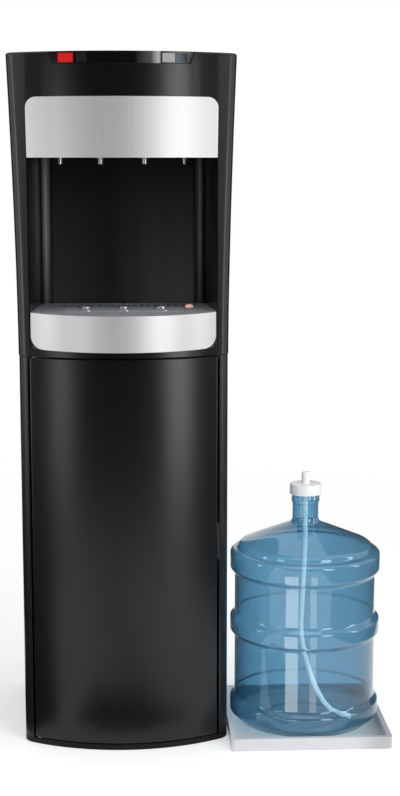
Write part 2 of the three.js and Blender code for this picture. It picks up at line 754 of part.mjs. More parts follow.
function headFascia() {
  const shell = loft(
    headLevels(HEIGHT).map(({ z, inset }) => ({
      z,
      ring: [
        ...front(headHalf(z), inset, FASCIA_REAR_Y),
        ...front(headHalf(z), inset + HEAD_WALL, FASCIA_REAR_Y).reverse(),
      ],
    })),
  );
  const opening = block(-ALCOVE_FRONT_HALF, ALCOVE_FRONT_HALF, 2 * FRONT_Y, FASCIA_REAR_Y,
    BASIN_BOTTOM_Z - GAP, ALCOVE_TOP_Z);
  const notch = through(displayRing(0, OVER), 2 * FRONT_Y, FASCIA_REAR_Y);
  const recess = bowPlate(trimRing(GAP), OVER, TRIM_SHEET);
  return cut(shell, opening, notch, recess);
}

// A flared flank with a flange in front of the rear panel's edge, on the right when side is 1.
function headCover(side) {
  const turn = (ring) => (side > 0 ? ring : mirrored(ring));
  const frontEdge = FASCIA_REAR_Y + GAP;
  const flank = loft(
    headLevels(HEIGHT).map(({ z, inset }) => {
      const x = headHalf(z) - inset;
      return {
        z,
        ring: turn([
          at(x - HEAD_WALL, frontEdge),
          at(x, frontEdge),
          at(x, rearInside),
          at(x - HEAD_WALL, rearInside),
        ]),
      };
    }),
  );
  const flange = loft(
    headLevels(lidBottomZ - GAP - RIM_RADIUS).map(({ z }) => {
      const x = headHalf(z) - HEAD_WALL / 2;
      return {
        z,
        ring: turn([
          at(x - COVER_FLANGE, rearInside - HEAD_WALL),
          at(x, rearInside - HEAD_WALL),
          at(x, rearInside),
          at(x - COVER_FLANGE, rearInside),
        ]),
      };
    }),
  );
  return join(flank, flange);
}

// The brushed plate's outline in X and Z, grown by margin.
function trimRing(margin) {
  const bottom = TRIM_BOTTOM_HALF + margin;
  const top = TRIM_TOP_HALF - TRIM_CORNER;
  const z0 = TRIM_BOTTOM_Z - margin;
  const z1 = TRIM_TOP_Z - TRIM_CORNER;
  const radius = TRIM_CORNER + margin;
  return roundedRing([
    { x: -bottom, y: z0, radius: 0, from: 0 },
    { x: bottom, y: z0, radius: 0, from: 0 },
    { x: top, y: z1, radius, from: 0 },
    { x: -top, y: z1, radius, from: Math.PI / 2 },
  ]);
}

// The display's outline in X and Z, drawn in by margin, and run on above the top by rise.
function displayRing(margin, rise) {
  const slope = (DISPLAY_TOP_HALF - DISPLAY_BOTTOM_HALF) / (HEIGHT - DISPLAY_BOTTOM_Z);
  const inset = margin * Math.hypot(1, slope);
  const halfAt = (z) => DISPLAY_BOTTOM_HALF + slope * (z - DISPLAY_BOTTOM_Z) - inset;
  const z0 = DISPLAY_BOTTOM_Z + margin;
  const z1 = HEIGHT - margin + rise;
  return [at(-halfAt(z0), z0), at(halfAt(z0), z0), at(halfAt(z1), z1), at(-halfAt(z1), z1)];
}

function windowRing({ middle, width }, margin) {
  const x0 = middle - width / 2 - margin;
  const x1 = middle + width / 2 + margin;
  const z0 = DISPLAY_BOTTOM_Z + GAP + WINDOW_BORDER - margin;
  const z1 = HEIGHT - 2 * WINDOW_BORDER + margin;
  return [at(x0, z0), at(x1, z0), at(x1, z1), at(x0, z1)];
}

function addHead() {
  piece("head_fascia", headFascia(), BLACK, 0.42);
  piece("right_head_cover", headCover(1), BLACK, 0.45);
  piece("left_head_cover", headCover(-1), BLACK, 0.45);
  const lidRing = front(headHalf(HEIGHT), lidInset, REAR_Y);
  piece("lid", slab(lidRing, lidBottomZ, lidTopZ), BLACK, 0.5);
  piece("upper_trim_plate", bowPlate(trimRing(0), GAP, TRIM_SHEET - GAP), BRUSHED, 0.35, 1);
  const strip = bowPlate(displayRing(GAP, 0), -DISPLAY_SETBACK, RIM_RADIUS + HEAD_WALL);
  const seat = 2 * DISPLAY_SETBACK + WINDOW_SHEET + GAP / 2;
  const seats = WINDOWS.map((window) => bowPlate(windowRing(window, GAP), OVER, seat));
  piece("display_strip", cut(strip, ...seats), GLOSS_BLACK, 0.12);
  WINDOWS.forEach((window) => {
    const setback = DISPLAY_SETBACK + GAP;
    const plate = bowPlate(windowRing(window, 0), -setback, setback + WINDOW_SHEET - GAP / 2);
    piece(window.name, plate, window.color, 0.2);
  });
}

// ---------- alcove ----------

const fasciaInsideY = (x) => bowY(x, BOW_RADIUS - HEAD_WALL, FRONT_Y + HEAD_WALL);
const ceilingZ = ALCOVE_TOP_Z + GAP;
const spoutXs = [-SPOUT_OUTER_X, -SPOUT_INNER_X, SPOUT_INNER_X, SPOUT_OUTER_X];
const spoutY = (TRAY_FRONT_Y + TRAY_REAR_Y) / 2;

// The right wall's face from its front edge round the cove to the groove, moved out by margin.
function alcovePath(margin) {
  const coveX = ALCOVE_REAR_HALF - ALCOVE_COVE;
  const coveY = ALCOVE_REAR_Y - ALCOVE_COVE;
  const radius = ALCOVE_COVE + margin;
  const frontX = ALCOVE_FRONT_HALF + margin;
  const path = [at(frontX, fasciaInsideY(frontX) + 2 * GAP)];
  for (let i = 0; i <= CORNER_STEPS; i++) {
    const turn = ((Math.PI / 2) * i) / CORNER_STEPS;
    path.push(at(coveX + radius * Math.cos(turn), coveY + radius * Math.sin(turn)));
  }
  path.push(at(BACK_PANEL_HALF + GROOVE_WIDTH, ALCOVE_REAR_Y + margin));
  return path;
}

function backPanel() {
  const z0 = BASIN_BOTTOM_Z;
  const stepY = ALCOVE_REAR_Y + ALCOVE_WALL + GAP;
  const reach = BACK_PANEL_HALF + 3 * GROOVE_WIDTH;
  return join(
    block(-BACK_PANEL_HALF, BACK_PANEL_HALF, ALCOVE_REAR_Y, stepY + GAP, z0, ALCOVE_TOP_Z),
    block(-reach, reach, stepY, stepY + BACK_PANEL_SHEET, z0, ALCOVE_TOP_Z),
  );
}

function ceiling() {
  const half = ALCOVE_FRONT_HALF + ALCOVE_WALL / 2;
  const rearHalf = ALCOVE_REAR_HALF + 2 * ALCOVE_WALL;
  const rearY = ALCOVE_REAR_Y + ALCOVE_WALL + 2 * BACK_PANEL_SHEET;
  const inset = HEAD_WALL + GAP;
  const arc = bowArc(half, BOW_RADIUS - inset, FRONT_Y + BOW_RADIUS, 2 * BOW_STEPS);
  const ring = [...arc, at(rearHalf, rearY), at(-rearHalf, rearY)];
  const holes = spoutXs.map((x) =>
    bore(x, spoutY, ceilingZ - OVER, ceilingZ + CEILING_SHEET + OVER, SPOUT_RADIUS + GAP),
  );
  return cut(slab(ring, ceilingZ, ceilingZ + CEILING_SHEET), ...holes);
}

function spout(x) {
  const z0 = ceilingZ - SPOUT_DROP;
  const z1 = ceilingZ + CEILING_SHEET + SPOUT_STUB;
  const flangeTop = ceilingZ - GAP;
  return cut(
    join(
      post(x, spoutY, z0, z1, SPOUT_RADIUS),
      post(x, spoutY, flangeTop - SPOUT_FLANGE_SHEET, flangeTop, SPOUT_FLANGE),
    ),
    bore(x, spoutY, z0 - OVER, z1 + OVER, SPOUT_BORE, 8),
  );
}

function addAlcove() {
  const wall = [...alcovePath(ALCOVE_WALL), ...alcovePath(0).reverse()];
  const z0 = BASIN_BOTTOM_Z;
  piece("right_alcove_wall", slab(wall, z0, ALCOVE_TOP_Z), BLACK, 0.4);
  piece("left_alcove_wall", slab(mirrored(wall), z0, ALCOVE_TOP_Z), BLACK, 0.4);
  piece("alcove_back_panel", backPanel(), BLACK, 0.25);
  piece("alcove_ceiling", ceiling(), BLACK, 0.5);
  spoutXs.forEach((x, i) => piece(`spout_${i + 1}`, spout(x), STAINLESS, 0.2, 1));
}

// ---------- basin, deck and controls ----------

const plateTopZ = DECK_Z - PLATE_RECESS + GAP + PLATE_SHEET;
const buttonXs = { cold_button: -BUTTON_SPACING, room_button: 0, hot_button: BUTTON_SPACING };
const boardZ = DECK_Z - DECK_SHEET - BUTTON_SKIRT - SWITCH_HEIGHT - BUTTON_TRAVEL;

// The basin's plan, drawn in by inset from its brushed front and from the alcove's walls.
function basinRing(inset) {
  const radius = BASIN_BOW_RADIUS - BASIN_SHEET - inset;
  const arc = bowArc(BASIN_HALF - inset, radius, BASIN_FRONT_Y + BASIN_BOW_RADIUS, 2 * BOW_STEPS);
  const flank = alcovePath(-inset).filter(({ y }) => y > arc.at(-1).y);
  return [...arc, ...flank, ...mirrored(flank)];
}

function basinBody() {
  const z1 = DECK_Z - DECK_SHEET - GAP;
  return cut(
    slab(basinRing(GAP), BASIN_BOTTOM_Z, z1),
    slab(basinRing(GAP + BASIN_WALL), BASIN_BOTTOM_Z + BASIN_WALL, z1 + OVER),
  );
}

function basinFront() {
  const z0 = BASIN_BOTTOM_Z + BASIN_CORNER;
  const x = BASIN_HALF - BASIN_CORNER;
  const ring = roundedRing([
    { x: -x, y: z0, radius: BASIN_CORNER, from: Math.PI },
    { x, y: z0, radius: BASIN_CORNER, from: 1.5 * Math.PI },
    { x: BASIN_HALF, y: DECK_Z, radius: 0, from: 0 },
    { x: -BASIN_HALF, y: DECK_Z, radius: 0, from: 0 },
  ]);
  const sheet = bowSheet(BASIN_HALF, BASIN_SHEET, BASIN_BOTTOM_Z - OVER, DECK_Z + OVER,
    BASIN_BOW_RADIUS, BASIN_FRONT_Y);
  return common(sheet, through(ring, 2 * BASIN_FRONT_Y, 0));
}

// The holes that the buttons and the dots take through the deck and the control plate.
function controlHoles() {
  const z0 = DECK_Z - DECK_SHEET - OVER;
  const z1 = plateTopZ + OVER;
  return Object.values(buttonXs).flatMap((x) => [
    bore(x, BUTTON_Y, z0, z1, BUTTON_RADIUS + BUTTON_CLEARANCE, 18),
    bore(x + DOT_OFFSET, DOT_Y, z0, z1, DOT_RADIUS + GAP, 8),
  ]);
}

function deck() {
  const z0 = DECK_Z - DECK_SHEET;
  return cut(
    slab(basinRing(GAP), z0, DECK_Z),
    block(-PLATE_HALF - GAP, PLATE_HALF + GAP, PLATE_FRONT_Y - GAP, PLATE_REAR_Y + GAP,
      DECK_Z - PLATE_RECESS, DECK_Z + OVER),
    block(-TRAY_HALF - GAP, TRAY_HALF + GAP, TRAY_FRONT_Y - GAP, TRAY_REAR_Y + GAP, z0 - OVER,
      DECK_Z + OVER),
    bore(SAFETY_X, SAFETY_Y, z0 - OVER, DECK_Z + OVER, SAFETY_RADIUS + BUTTON_CLEARANCE, 18),
    ...controlHoles(),
  );
}

function controlPlate() {
  const z0 = plateTopZ - PLATE_SHEET;
  return cut(
    block(-PLATE_HALF, PLATE_HALF, PLATE_FRONT_Y, PLATE_REAR_Y, z0, plateTopZ),
    ...controlHoles(),
  );
}

// A domed cap on a stem that stops short of its switch by the travel.
function button(x, y, radius, topZ, travel) {
  const shoulder = topZ + BUTTON_SHOULDER;
  const bottom = topZ - BUTTON_SKIRT;
  const stem = boardZ + BOARD_SHEET + SWITCH_HEIGHT + travel + GAP;
  const profile = [at(0, stem), at(BUTTON_STEM, stem), at(BUTTON_STEM, bottom), at(radius, bottom)];
  const dome = (BUTTON_DOME * radius) / BUTTON_RADIUS;
  for (let i = 0; i <= CORNER_STEPS; i++) {
    const turn = ((Math.PI / 2) * i) / CORNER_STEPS;
    profile.push(at(radius * Math.cos(turn), shoulder + dome * Math.sin(turn)));
  }
  profile[profile.length - 1].x = 0;
  const geometry = turned(profile);
  geometry.translate(x, y, 0);
  return geometry;
}

function buttonBoard() {
  const x0 = -BUTTON_SPACING - BOARD_MARGIN;
  const x1 = SAFETY_X + BOARD_MARGIN;
  const y0 = DOT_Y - BOARD_MARGIN;
  const y1 = TRAY_FRONT_Y - 2 * GAP - TRAY_WALL;
  const top = boardZ + BOARD_SHEET;
  const switchAt = (x, y) =>
    block(x - SWITCH_SIZE / 2, x + SWITCH_SIZE / 2, y - SWITCH_SIZE / 2, y + SWITCH_SIZE / 2,
      boardZ, top + SWITCH_HEIGHT);
  const standoff = (x, y) =>
    post(x, y, BASIN_BOTTOM_Z + BASIN_WALL + GAP, top, STANDOFF_RADIUS, 10);
  const inner = 2 * STANDOFF_RADIUS;
  return join(
    block(x0, x1, y0, y1, boardZ, top),
    ...Object.values(buttonXs).flatMap((x) => [
      switchAt(x, BUTTON_Y),
      post(x + DOT_OFFSET, DOT_Y, boardZ, plateTopZ + DOT_RISE, DOT_RADIUS, 8),
    ]),
    switchAt(SAFETY_X, SAFETY_Y),
    standoff(x0 + inner, y0 + inner),
    standoff(x1 - inner, y0 + inner),
    standoff(x0 + inner, y1 - inner),
    standoff(x1 - inner, y1 - inner),
  );
}

function dripTray() {
  const z0 = BASIN_BOTTOM_Z + BASIN_WALL + GAP;
  const wall = TRAY_WALL + TRAY_LEDGE;
  return cut(
    block(-TRAY_HALF, TRAY_HALF, TRAY_FRONT_Y, TRAY_REAR_Y, z0, DECK_Z),
    block(-TRAY_HALF + wall, TRAY_HALF - wall, TRAY_FRONT_Y + wall, TRAY_REAR_Y - wall,
      z0 + TRAY_FLOOR, DECK_Z + OVER),
    block(-TRAY_HALF + TRAY_WALL, TRAY_HALF - TRAY_WALL, TRAY_FRONT_Y + TRAY_WALL,
      TRAY_REAR_Y - TRAY_WALL, grilleZ - GAP, DECK_Z + OVER),
  );
}

const grilleZ = DECK_Z - GRILLE_SHEET;

function dripGrille() {
  const wall = TRAY_WALL + GAP;
  const half = TRAY_HALF - wall;
  const pitch = (2 * (half - GRILLE_BORDER)) / GRILLE_SLOTS;
  const slots = Array.from({ length: GRILLE_SLOTS }, (_, i) => {
    const x = -half + GRILLE_BORDER + pitch * (i + 0.5);
    return block(x - GRILLE_SLOT / 2, x + GRILLE_SLOT / 2, TRAY_FRONT_Y + wall + GRILLE_BORDER,
      TRAY_REAR_Y - wall - GRILLE_BORDER, grilleZ - OVER, DECK_Z + OVER);
  });
  return cut(block(-half, half, TRAY_FRONT_Y + wall, TRAY_REAR_Y - wall, grilleZ, DECK_Z), ...slots);
}

function addBasin() {
  piece("basin_body", basinBody(), BLACK, 0.5);
  piece("basin_front", basinFront(), BRUSHED, 0.35, 1);
  piece("deck", deck(), DECK_GREY, 0.5);
  piece("control_plate", controlPlate(), DECK_GREY, 0.35);
  Object.entries(buttonXs).forEach(([name, x]) => {
    const cap = button(x, BUTTON_Y, BUTTON_RADIUS, plateTopZ, BUTTON_TRAVEL);
    piece(name, cap, 0xc4c7ca, 0.1, 1);
  });
  const safety = button(SAFETY_X, SAFETY_Y, SAFETY_RADIUS, DECK_Z, SAFETY_TRAVEL);
  piece("safety_button", safety, 0xf2754f, 0.3);
  piece("button_board", buttonBoard(), 0x1f5a36, 0.5);
  piece("drip_tray", dripTray(), BLACK, 0.5);
  piece("drip_grille", dripGrille(), DECK_GREY, 0.4);
}

// ---------- cooling and heating ----------

const mountTopZ = SHELF_Z + GAP + MOUNT_SHEET;
const compressorZ = mountTopZ + GROMMET_HEIGHT + GAP;
const footX = COMPRESSOR_RADIUS * Math.SQRT1_2;

// A domed shell on a square foot plate, open underneath.
function compressor() {
  const r = COMPRESSOR_RADIUS;
  const h = COMPRESSOR_HEIGHT;
  const t = COMPRESSOR_WALL;
  const low = COMPRESSOR_BEVEL;
  const high = 1 - COMPRESSOR_BEVEL;
  const shell = turned([
    at(0, h - t),
    at(COMPRESSOR_CROWN * r, h - 2 * t),
    at(r - t, high * h - t),
    at(r - t, low * h + t),
    at(COMPRESSOR_OPENING, t),
    at(COMPRESSOR_OPENING, 0),
    at(high * r, 0),
    at(r, low * h),
    at(r, high * h),
    at(COMPRESSOR_SHOULDER * r, COMPRESSOR_SHOULDER * h),
    at(COMPRESSOR_CROWN * r, h - t / 2),
    at(0, h),
  ]);
  shell.translate(COMPRESSOR_X, COMPRESSOR_Y, compressorZ);
  const feet = block(COMPRESSOR_X - r, COMPRESSOR_X + r, COMPRESSOR_Y - r, COMPRESSOR_Y + r,
    compressorZ, compressorZ + MOUNT_SHEET);
  const opening = post(COMPRESSOR_X, COMPRESSOR_Y, compressorZ - OVER, compressorZ + 2 * MOUNT_SHEET,
    COMPRESSOR_OPENING);
  return cut(join(shell, feet), opening);
}

function compressorMount() {
  const r = COMPRESSOR_RADIUS;
  const z0 = SHELF_Z + GAP;
  const grommets = [-1, 1].flatMap((i) =>
    [-1, 1].map((j) =>
      post(COMPRESSOR_X + i * footX, COMPRESSOR_Y + j * footX, z0, compressorZ - GAP,
        GROMMET_RADIUS, 12),
    ),
  );
  return join(
    block(COMPRESSOR_X - r, COMPRESSOR_X + r, COMPRESSOR_Y - r, COMPRESSOR_Y + r, z0, mountTopZ),
    ...grommets,
  );
}

// The condenser's two ends pass forward through the rear panel at these places.
function condenserTails() {
  const topZ = CONDENSER_BOTTOM_Z + (CONDENSER_RUNS - 1) * CONDENSER_PITCH;
  const lastX = CONDENSER_RUNS % 2 ? CONDENSER_HALF : -CONDENSER_HALF;
  return [
    [-CONDENSER_HALF, CONDENSER_BOTTOM_Z],
    [lastX, topZ],
  ];
}

function condenser() {
  const r = CONDENSER_TUBE;
  const parts = [];
  for (let run = 0; run < CONDENSER_RUNS; run++) {
    const z = CONDENSER_BOTTOM_Z + run * CONDENSER_PITCH;
    const straight = new THREE.CylinderGeometry(r, r, 2 * CONDENSER_HALF + OVER, 6);
    straight.rotateZ(Math.PI / 2);
    straight.translate(0, CONDENSER_Y, z);
    parts.push(straight);
    if (run === CONDENSER_RUNS - 1) break;
    const side = run % 2 ? -1 : 1;
    const bend = CONDENSER_PITCH / 2;
    const arc = Array.from({ length: CONDENSER_BEND_STEPS + 1 }, (_, i) => {
      const turn = -Math.PI / 2 + (Math.PI * i) / CONDENSER_BEND_STEPS;
      const x = CONDENSER_HALF + bend * Math.cos(turn);
      return [side * x, CONDENSER_Y, z + bend + bend * Math.sin(turn)];
    });
    parts.push(tube(arc, r, CONDENSER_BEND_STEPS, 6));
  }
  condenserTails().forEach(([x, z]) => {
    parts.push(peg(x, z, REAR_Y - 4 * LINE_RADIUS, CONDENSER_Y, LINE_RADIUS, 10));
  });
  const top = CONDENSER_BOTTOM_Z + CONDENSER_RUNS * CONDENSER_PITCH - CONDENSER_PITCH / 2;
  [-STRAP_X, STRAP_X].forEach((x) => {
    const x0 = x - STRAP_WIDTH / 2;
    const x1 = x + STRAP_WIDTH / 2;
    const z0 = CONDENSER_BOTTOM_Z - CONDENSER_PITCH / 2;
    parts.push(block(x0, x1, CONDENSER_Y - r - SHEET, CONDENSER_Y - r / 2, z0, top));
    [z0, top - STRAP_WIDTH].forEach((z) => {
      parts.push(block(x0, x1, REAR_Y + GAP, CONDENSER_Y - r / 2, z, z + STRAP_WIDTH));
    });
  });
  return join(...parts);
}

// A closed can standing on z0 with a port in its top.
function tank(x, y, z0, radius, height) {
  const t = TANK_WALL;
  const end = TANK_END * radius;
  const bevel = TANK_BEVEL * height;
  const geometry = turned([
    at(0, 0),
    at(end, 0),
    at(radius, bevel),
    at(radius, height - bevel),
    at(end, height),
    at(TANK_PORT, height),
    at(TANK_PORT, height - t),
    at(end - t, height - t),
    at(radius - t, height - bevel - t),
    at(radius - t, bevel + t),
    at(end - t, t),
    at(0, t),
  ]);
  geometry.translate(x, y, z0);
  return geometry;
}

// The hot tank stands on two flat legs and has its drain pipe at its foot.
function hotTank() {
  const z0 = SHELF_Z + HOT_TANK_LEGS;
  const legs = [-1, 1].map((side) => {
    const y = HOT_TANK_Y + side * HOT_TANK_STANCE;
    return block(HOT_TANK_X - STRAP_WIDTH / 2, HOT_TANK_X + STRAP_WIDTH / 2, y - SHEET, y + SHEET,
      SHELF_Z + GAP, z0 + TANK_WALL / 2);
  });
  const elbow = tube(
    [
      [HOT_TANK_X, HOT_TANK_Y, z0 + TANK_WALL / 2],
      [HOT_TANK_X, HOT_TANK_Y, DRAIN_Z + DRAIN_RADIUS],
      [HOT_TANK_X, HOT_TANK_Y + DRAIN_RADIUS, DRAIN_Z],
      [HOT_TANK_X, HOT_TANK_Y + 3 * DRAIN_RADIUS, DRAIN_Z],
      [HOT_TANK_X, REAR_Y - 2 * DRAIN_RADIUS, DRAIN_Z],
      [HOT_TANK_X, REAR_Y + DRAIN_REACH, DRAIN_Z],
    ],
    DRAIN_RADIUS,
    12,
  );
  return join(tank(HOT_TANK_X, HOT_TANK_Y, z0, HOT_TANK_RADIUS, HOT_TANK_HEIGHT), ...legs, elbow);
}

function drainCap() {
  const outer = DRAIN_RADIUS + DRAIN_CAP_WALL;
  const y0 = REAR_Y + GAP;
  const y1 = REAR_Y + DRAIN_REACH + GAP;
  return cut(
    peg(HOT_TANK_X, DRAIN_Z, y0, y1 + DRAIN_CAP_WALL, outer, 14),
    peg(HOT_TANK_X, DRAIN_Z, y0 - OVER, y1, DRAIN_RADIUS + GAP, 14),
  );
}

const foamY = rearInside - HEAD_WALL - GAP - FOAM_DEPTH / 2;
const foamZ = TANK_SHELF_Z + GAP;

function tankShelf() {
  const half = headHalf(TANK_SHELF_Z - SHEET) - HEAD_WALL - GAP;
  const rear = rearInside - HEAD_WALL - GAP;
  return block(-half, half, TANK_SHELF_FRONT_Y, rear, TANK_SHELF_Z - SHEET, TANK_SHELF_Z);
}

function foam() {
  const half = FOAM_DEPTH / 2;
  return cut(
    block(-FOAM_HALF, FOAM_HALF, foamY - half, foamY + half, foamZ, foamZ + FOAM_HEIGHT),
    bore(0, foamY, foamZ + FOAM_FLOOR, foamZ + FOAM_HEIGHT + OVER, COLD_TANK_RADIUS + GAP, 24),
  );
}

const manifoldZ = ceilingZ + CEILING_SHEET + SPOUT_STUB + GAP;

function valveManifold() {
  const top = manifoldZ + MANIFOLD_HEIGHT;
  const half = SPOUT_OUTER_X + MANIFOLD_END;
  const depth = MANIFOLD_DEPTH / 2;
  return join(
    block(-half, half, spoutY - depth, spoutY + depth, manifoldZ, top),
    ...spoutXs.map((x) => post(x, spoutY, top - OVER, top + COIL_HEIGHT, COIL_RADIUS, 16)),
  );
}

const pumpZ = SHELF_Z + GAP + MOUNT_SHEET + PUMP_MOTOR;
const pumpY = foamY;

function waterPump() {
  const y0 = pumpY - PUMP_LENGTH / 2;
  const y1 = pumpY + PUMP_LENGTH / 2;
  const r = PUMP_MOTOR;
  return join(
    peg(0, pumpZ, y0, y1, r, 20),
    block(-r, r, y0 - OVER, y0 + PUMP_HEAD, pumpZ - r + 2 * OVER, pumpZ + r),
    block(-r - SHEET, r + SHEET, y0, y1, SHELF_Z + GAP, SHELF_Z + GAP + MOUNT_SHEET + OVER),
  );
}

// From the bay's ceiling over to the pump's head.
function feedTube() {
  const headY = pumpY - PUMP_LENGTH / 2 + PUMP_HEAD / 2;
  const x = -PUMP_MOTOR - GAP;
  return tube(
    [
      [INLET_X, INLET_Y, SHELF_Z - 2 * TUBE_RADIUS],
      [INLET_X, INLET_Y, SHELF_Z + TUBE_RADIUS],
      [INLET_X - TUBE_RADIUS, INLET_Y + TUBE_RADIUS, SHELF_Z + 3 * TUBE_RADIUS],
      [x - 3 * TUBE_RADIUS, (INLET_Y + headY) / 2, pumpZ],
      [x - TUBE_RADIUS, headY, pumpZ + TUBE_RADIUS],
      [x, headY, pumpZ + TUBE_RADIUS],
    ],
    TUBE_RADIUS,
    14,
  );
}

// From the hot tank's port up past the shelf's front edge to the manifold.
function hotTube() {
  const z0 = SHELF_Z + HOT_TANK_LEGS + HOT_TANK_HEIGHT + GAP;
  const room = TANK_SHELF_Z - SHEET - z0;
  const gapY = (TANK_SHELF_FRONT_Y + ALCOVE_REAR_Y + ALCOVE_WALL + 2 * BACK_PANEL_SHEET) / 2;
  const z1 = manifoldZ + MANIFOLD_HEIGHT / 2;
  return tube(
    [
      [HOT_TANK_X, HOT_TANK_Y, z0],
      [HOT_TANK_X, HOT_TANK_Y, z0 + room / 5],
      [HOT_TANK_X, gapY, z0 + (4 * room) / 5],
      [HOT_TANK_X, gapY, TANK_SHELF_Z + TUBE_RADIUS],
      [HOT_TANK_X, spoutY + MANIFOLD_DEPTH / 2 + 2 * TUBE_RADIUS, z1],
      [HOT_TANK_X, spoutY + MANIFOLD_DEPTH / 2 + GAP, z1],
    ],
    TUBE_RADIUS,
    20,
  );
}

function controlBoard() {
  const x = CONTROL_BOARD_X;
  const z0 = TANK_SHELF_Z + GAP;
  const y0 = foamY - CONTROL_BOARD_LENGTH / 2;
  const y1 = foamY + CONTROL_BOARD_LENGTH / 2;
  const relay = (y, z) => block(x, x + SWITCH_SIZE, y, y + SWITCH_SIZE, z, z + 2 * SWITCH_SIZE);
  return join(
    block(x, x + BOARD_SHEET, y0, y1, z0, z0 + CONTROL_BOARD_HEIGHT),
    block(x - SWITCH_SIZE, x + SWITCH_SIZE, y0, y1, z0, z0 + MOUNT_SHEET),
    ...[0, 1, 2].map((i) => relay(y0 + SWITCH_SIZE * (1 + 2 * i), z0 + 2 * SWITCH_SIZE)),
  );
}

function addMachinery() {
  piece("compressor", compressor(), 0x17181a, 0.4, 0.4);
  piece("compressor_mount", compressorMount(), GALVANISED, 0.5, 1);
  piece("condenser", condenser(), 0x1a1b1c, 0.5, 0.5);
  piece("hot_tank", hotTank(), STAINLESS, 0.3, 1);
  piece("drain_cap", drainCap(), WHITE, 0.4);
  const coldZ = foamZ + FOAM_FLOOR + GAP;
  piece("cold_tank", tank(0, foamY, coldZ, COLD_TANK_RADIUS, COLD_TANK_HEIGHT), STAINLESS, 0.3, 1);
  piece("cold_tank_foam", foam(), WHITE, 0.9);
  piece("tank_shelf", tankShelf(), GALVANISED, 0.45, 1);
  piece("valve_manifold", valveManifold(), 0xdfe0e0, 0.5);
  piece("water_pump", waterPump(), 0x2a2b2d, 0.5);
  piece("feed_tube", feedTube(), 0xdde3e6, 0.4);
  piece("hot_tube", hotTube(), 0xdde3e6, 0.4);
  piece("control_board", controlBoard(), 0x1f5a36, 0.5);
}

// ---------- rear fittings ----------

function rocker(x) {
  const y1 = REAR_Y + ROCKER_DEPTH / 3;
  const half = ROCKER_HEIGHT / 2;
  return block(x - ROCKER_HALF, x + ROCKER_HALF, y1 - ROCKER_DEPTH, y1, SWITCH_Z - half,
    SWITCH_Z + half);
}

function powerInlet() {
  const y0 = REAR_Y + GAP;
  const y1 = y0 + POWER_WALL;
  const inside = REAR_Y - POWER_DEPTH;
  const grow = (margin, from, to) =>
    block(POWER_X - POWER_HALF - margin, POWER_X + POWER_HALF + margin, from, to,
      POWER_Z - POWER_RISE - margin, POWER_Z + POWER_RISE + margin);
  const shell = cut(
    join(grow(POWER_FLANGE, y0, y1), grow(0, inside, y0 + OVER)),
    grow(-POWER_WALL, inside + POWER_WALL, y1 + OVER),
  );
  const pins = [-1, 0, 1].map((i) =>
    peg(POWER_X + i * POWER_PIN_X, POWER_Z + (i ? -POWER_PIN : POWER_PIN), inside + OVER,
      REAR_Y - POWER_WALL, POWER_PIN, 8),
  );
  return join(shell, ...pins);
}

function addRearFittings() {
  Object.entries(SWITCH_XS).forEach(([name, x]) => {
    piece(name, rocker(x), name === "hot_switch" ? 0xb3201c : 0x1d6b34, 0.4);
  });
  piece("power_inlet", powerInlet(), GLOSS_BLACK, 0.4);
}

// ---------- bottle on its tray ----------

const trayMiddle = BODY_HALF + BOTTLE_TRAY_SIDE_GAP + BOTTLE_TRAY_SIZE / 2;
const trayMiddleY = BOTTLE_TRAY_FRONT_Y + BOTTLE_TRAY_SIZE / 2;
const bottleZ = BOTTLE_TRAY_FLOOR + GAP;

function bottleTray() {
  const half = BOTTLE_TRAY_SIZE / 2;
  const inner = half - BOTTLE_TRAY_RIM;
  const corner = BOTTLE_TRAY_CORNER;
  const geometry = cut(
    slab(roundedRectangle(-half, half, -half, half, corner), 0, BOTTLE_TRAY_HEIGHT),
    slab(roundedRectangle(-inner, inner, -inner, inner, corner), BOTTLE_TRAY_FLOOR,
      BOTTLE_TRAY_HEIGHT + OVER),
  );
  geometry.translate(trayMiddle, trayMiddleY, 0);
  return geometry;
}

// Radius and height of the bottle's outside, from the middle of its base to its mouth.
function bottleProfile() {
  const edge = BOTTLE_EDGE;
  const points = [
    at(0, edge),
    at(BOTTLE_BASE_RADIUS - 2 * edge, edge),
    at(BOTTLE_BASE_RADIUS, 0),
    at(BOTTLE_BODY_RADIUS - 2 * edge, 2 * edge),
    at(BOTTLE_BODY_RADIUS, BOTTLE_RINGS[0].bottom - edge),
  ];
  BOTTLE_RINGS.forEach(({ bottom, top }, i) => {
    if (i) points.push(at(BOTTLE_BODY_RADIUS, bottom - edge));
    points.push(
      at(BOTTLE_RADIUS - edge / 2, bottom),
      at(BOTTLE_RADIUS, bottom + edge),
      at(BOTTLE_RADIUS, top - edge),
      at(BOTTLE_RADIUS - edge / 2, top),
    );
    if (i < BOTTLE_RINGS.length - 1) points.push(at(BOTTLE_BODY_RADIUS, top + edge));
  });
  const beadTop = BOTTLE_MOUTH_Z + CAP_TOP - CAP_HEIGHT - edge / 2;
  points.push(
    at(BOTTLE_SHOULDER_RADIUS + edge, BOTTLE_RINGS.at(-1).top + edge),
    at(BOTTLE_SHOULDER_RADIUS + 2 * edge, (BOTTLE_RINGS.at(-1).top + edge + BOTTLE_SHOULDER_Z) / 2),
    at(BOTTLE_SHOULDER_RADIUS, BOTTLE_SHOULDER_Z),
    at(BOTTLE_NECK_RADIUS + edge, BOTTLE_NECK_Z - edge),
    at(BOTTLE_NECK_RADIUS, BOTTLE_NECK_Z + edge),
    at(BOTTLE_NECK_RADIUS, beadTop - 5 * edge),
    at(BOTTLE_NECK_RADIUS + BOTTLE_BEAD, beadTop - 4 * edge),
    at(BOTTLE_NECK_RADIUS + BOTTLE_BEAD, beadTop - edge),
    at(BOTTLE_NECK_RADIUS, beadTop),
    at(BOTTLE_NECK_RADIUS, BOTTLE_MOUTH_Z),
  );
  return points;
}

